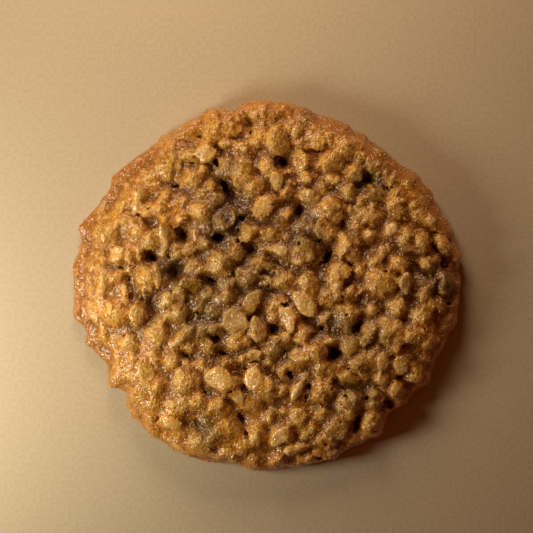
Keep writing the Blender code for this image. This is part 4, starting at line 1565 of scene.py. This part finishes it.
@dataclass(frozen=True)
class GrainFinish:
    """Grains: the same dough, each with its own shade."""

    name: str = "dough_grain"
    light: Colour = (0.96, 0.60, 0.19)
    dark: Colour = (0.40, 0.145, 0.010)
    roughness: float = 0.24

    def build(self) -> bpy.types.Material:
        """Makes the node material.

        Returns:
            The material.
        """
        graph = Graph(self.name)
        shade = graph.lay(self.dark, self.light, Attribute.TINT, 0.1, 0.95)
        colour = graph.lay(shade, self.dark, graph.noise(0.6 * MM), 0.35, 0.7, 0.5)
        return graph.finish(colour, self.roughness, graph.bump(graph.noise(0.2 * MM), 0.06 * MM))


@dataclass(frozen=True)
class FloorFinish:
    """Plain pale floor, warm and matt."""

    name: str = "plain_floor"
    colour: Colour = (0.67, 0.565, 0.36)
    fleck: Colour = (0.53, 0.44, 0.275)

    def build(self) -> bpy.types.Material:
        """Makes the node material.

        Returns:
            The material.
        """
        graph = Graph(self.name)
        fleck = graph.noise(0.9 * MM, 3.0)
        colour = graph.lay(self.colour, self.fleck, fleck, 0.3, 0.7, 0.4)
        return graph.finish(colour, 0.85, graph.bump(fleck, 0.05 * MM))


@dataclass(frozen=True)
class Lamp:
    """A soft square light: how far it stands, its turn and height in degrees, and where it aims."""

    name: str
    reach: float
    turn: float
    height: float
    aim: tuple[float, float]
    size: float
    power: float
    colour: Colour

    def build(self) -> None:
        """Adds the light."""
        turn, height = math.radians(self.turn), math.radians(self.height)
        flat = self.reach * math.cos(height)
        place = Vector((flat * math.cos(turn), flat * math.sin(turn), self.reach * math.sin(height)))
        data = bpy.data.lights.new(self.name, "AREA")
        data.size, data.energy, data.color = self.size, self.power, self.colour
        light = linked(self.name, data)
        light.location = place
        light.rotation_euler = (Vector((*self.aim, 0.0)) - place).to_track_quat("-Z", "Y").to_euler()


LAMPS = (
    Lamp("key", 0.157, 194.0, 32.0, (-0.055, 0.012), 0.055, 0.152, (1.0, 0.92, 0.78)),
    Lamp("fill", 0.201, 101.0, 32.0, (0.0, 0.0), 0.090, 0.200, (1.0, 0.76, 0.57)),
)


@dataclass
class Studio:
    """Floor, camera, lamps and a dim warm surround."""

    view_width: float = 533 * 0.25 * MM
    view_shift: float = 4.6 * MM
    lens: float = 100.0
    surround: Colour = (0.072, 0.017, 0.005)
    reflected: Colour = (0.045, 0.023, 0.009)

    def build(self) -> None:
        """Makes the floor, the lights, the world and the camera."""
        self.make_floor()
        for lamp in LAMPS:
            lamp.build()
        self.make_surround()
        bpy.context.scene.view_settings.view_transform = "Standard"
        self.make_camera()

    def make_surround(self) -> None:
        """A dim warm world, which glossy rays see as a plain soft grey."""
        world = bpy.data.worlds.new("studio")
        world.use_nodes = True
        tree = world.node_tree
        blend = tree.nodes.new("ShaderNodeMix")
        blend.data_type = "RGBA"
        blend.inputs[6].default_value = (*self.surround, 1.0)
        blend.inputs[7].default_value = (*self.reflected, 1.0)
        ray = tree.nodes.new("ShaderNodeLightPath")
        tree.links.new(ray.outputs["Is Glossy Ray"], blend.inputs["Factor"])
        tree.links.new(blend.outputs[2], tree.nodes["Background"].inputs["Color"])
        bpy.context.scene.world = world

    def make_floor(self) -> None:
        """A wide plain floor under the cookie."""
        floor = add_primitive(bpy.ops.mesh.primitive_plane_add, size=4.0, location=(0.0, 0.0, 0.0))
        floor.name = "floor"
        floor.data.materials.append(FloorFinish().build())

    def make_camera(self) -> None:
        """The photo's camera, which looks straight down."""
        data = bpy.data.cameras.new("camera")
        data.lens = self.lens
        data.clip_start, data.clip_end = 0.01, 10.0
        camera = linked("camera", data)
        distance = self.view_width * self.lens / data.sensor_width
        camera.location = (0.0, self.view_shift, distance + 5.0 * MM)
        bpy.context.scene.camera = camera


def dress(piece: bpy.types.Object, finish: bpy.types.Material) -> None:
    """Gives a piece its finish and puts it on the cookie.

    Args:
        piece: The piece.
        finish: Its material.
    """
    piece.data.materials.clear()
    piece.data.materials.append(finish)
    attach(piece, BODY)
    log.info("%s: %d triangles", piece.name, triangles_of(piece))


def main() -> None:
    """Builds the cookie and the studio."""
    logging.basicConfig(level=logging.INFO, format="%(message)s")
    crust = Crust()
    dress(crust.build(), DoughFinish().build())
    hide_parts(NODE)
    grain = GrainFinish().build()
    coarse = Grains(crust, "grains", count=4200, radius=(0.16 * MM, 0.34 * MM), sides=5, rings=3, seed=22)
    fine = Grains(crust, "fine_grains", count=11000, radius=(0.11 * MM, 0.20 * MM), sides=4, rings=2, seed=23)
    for scatter in (coarse, fine):
        dress(scatter.build(), grain)
    Studio().build()


if __name__ == "__main__":
    main()
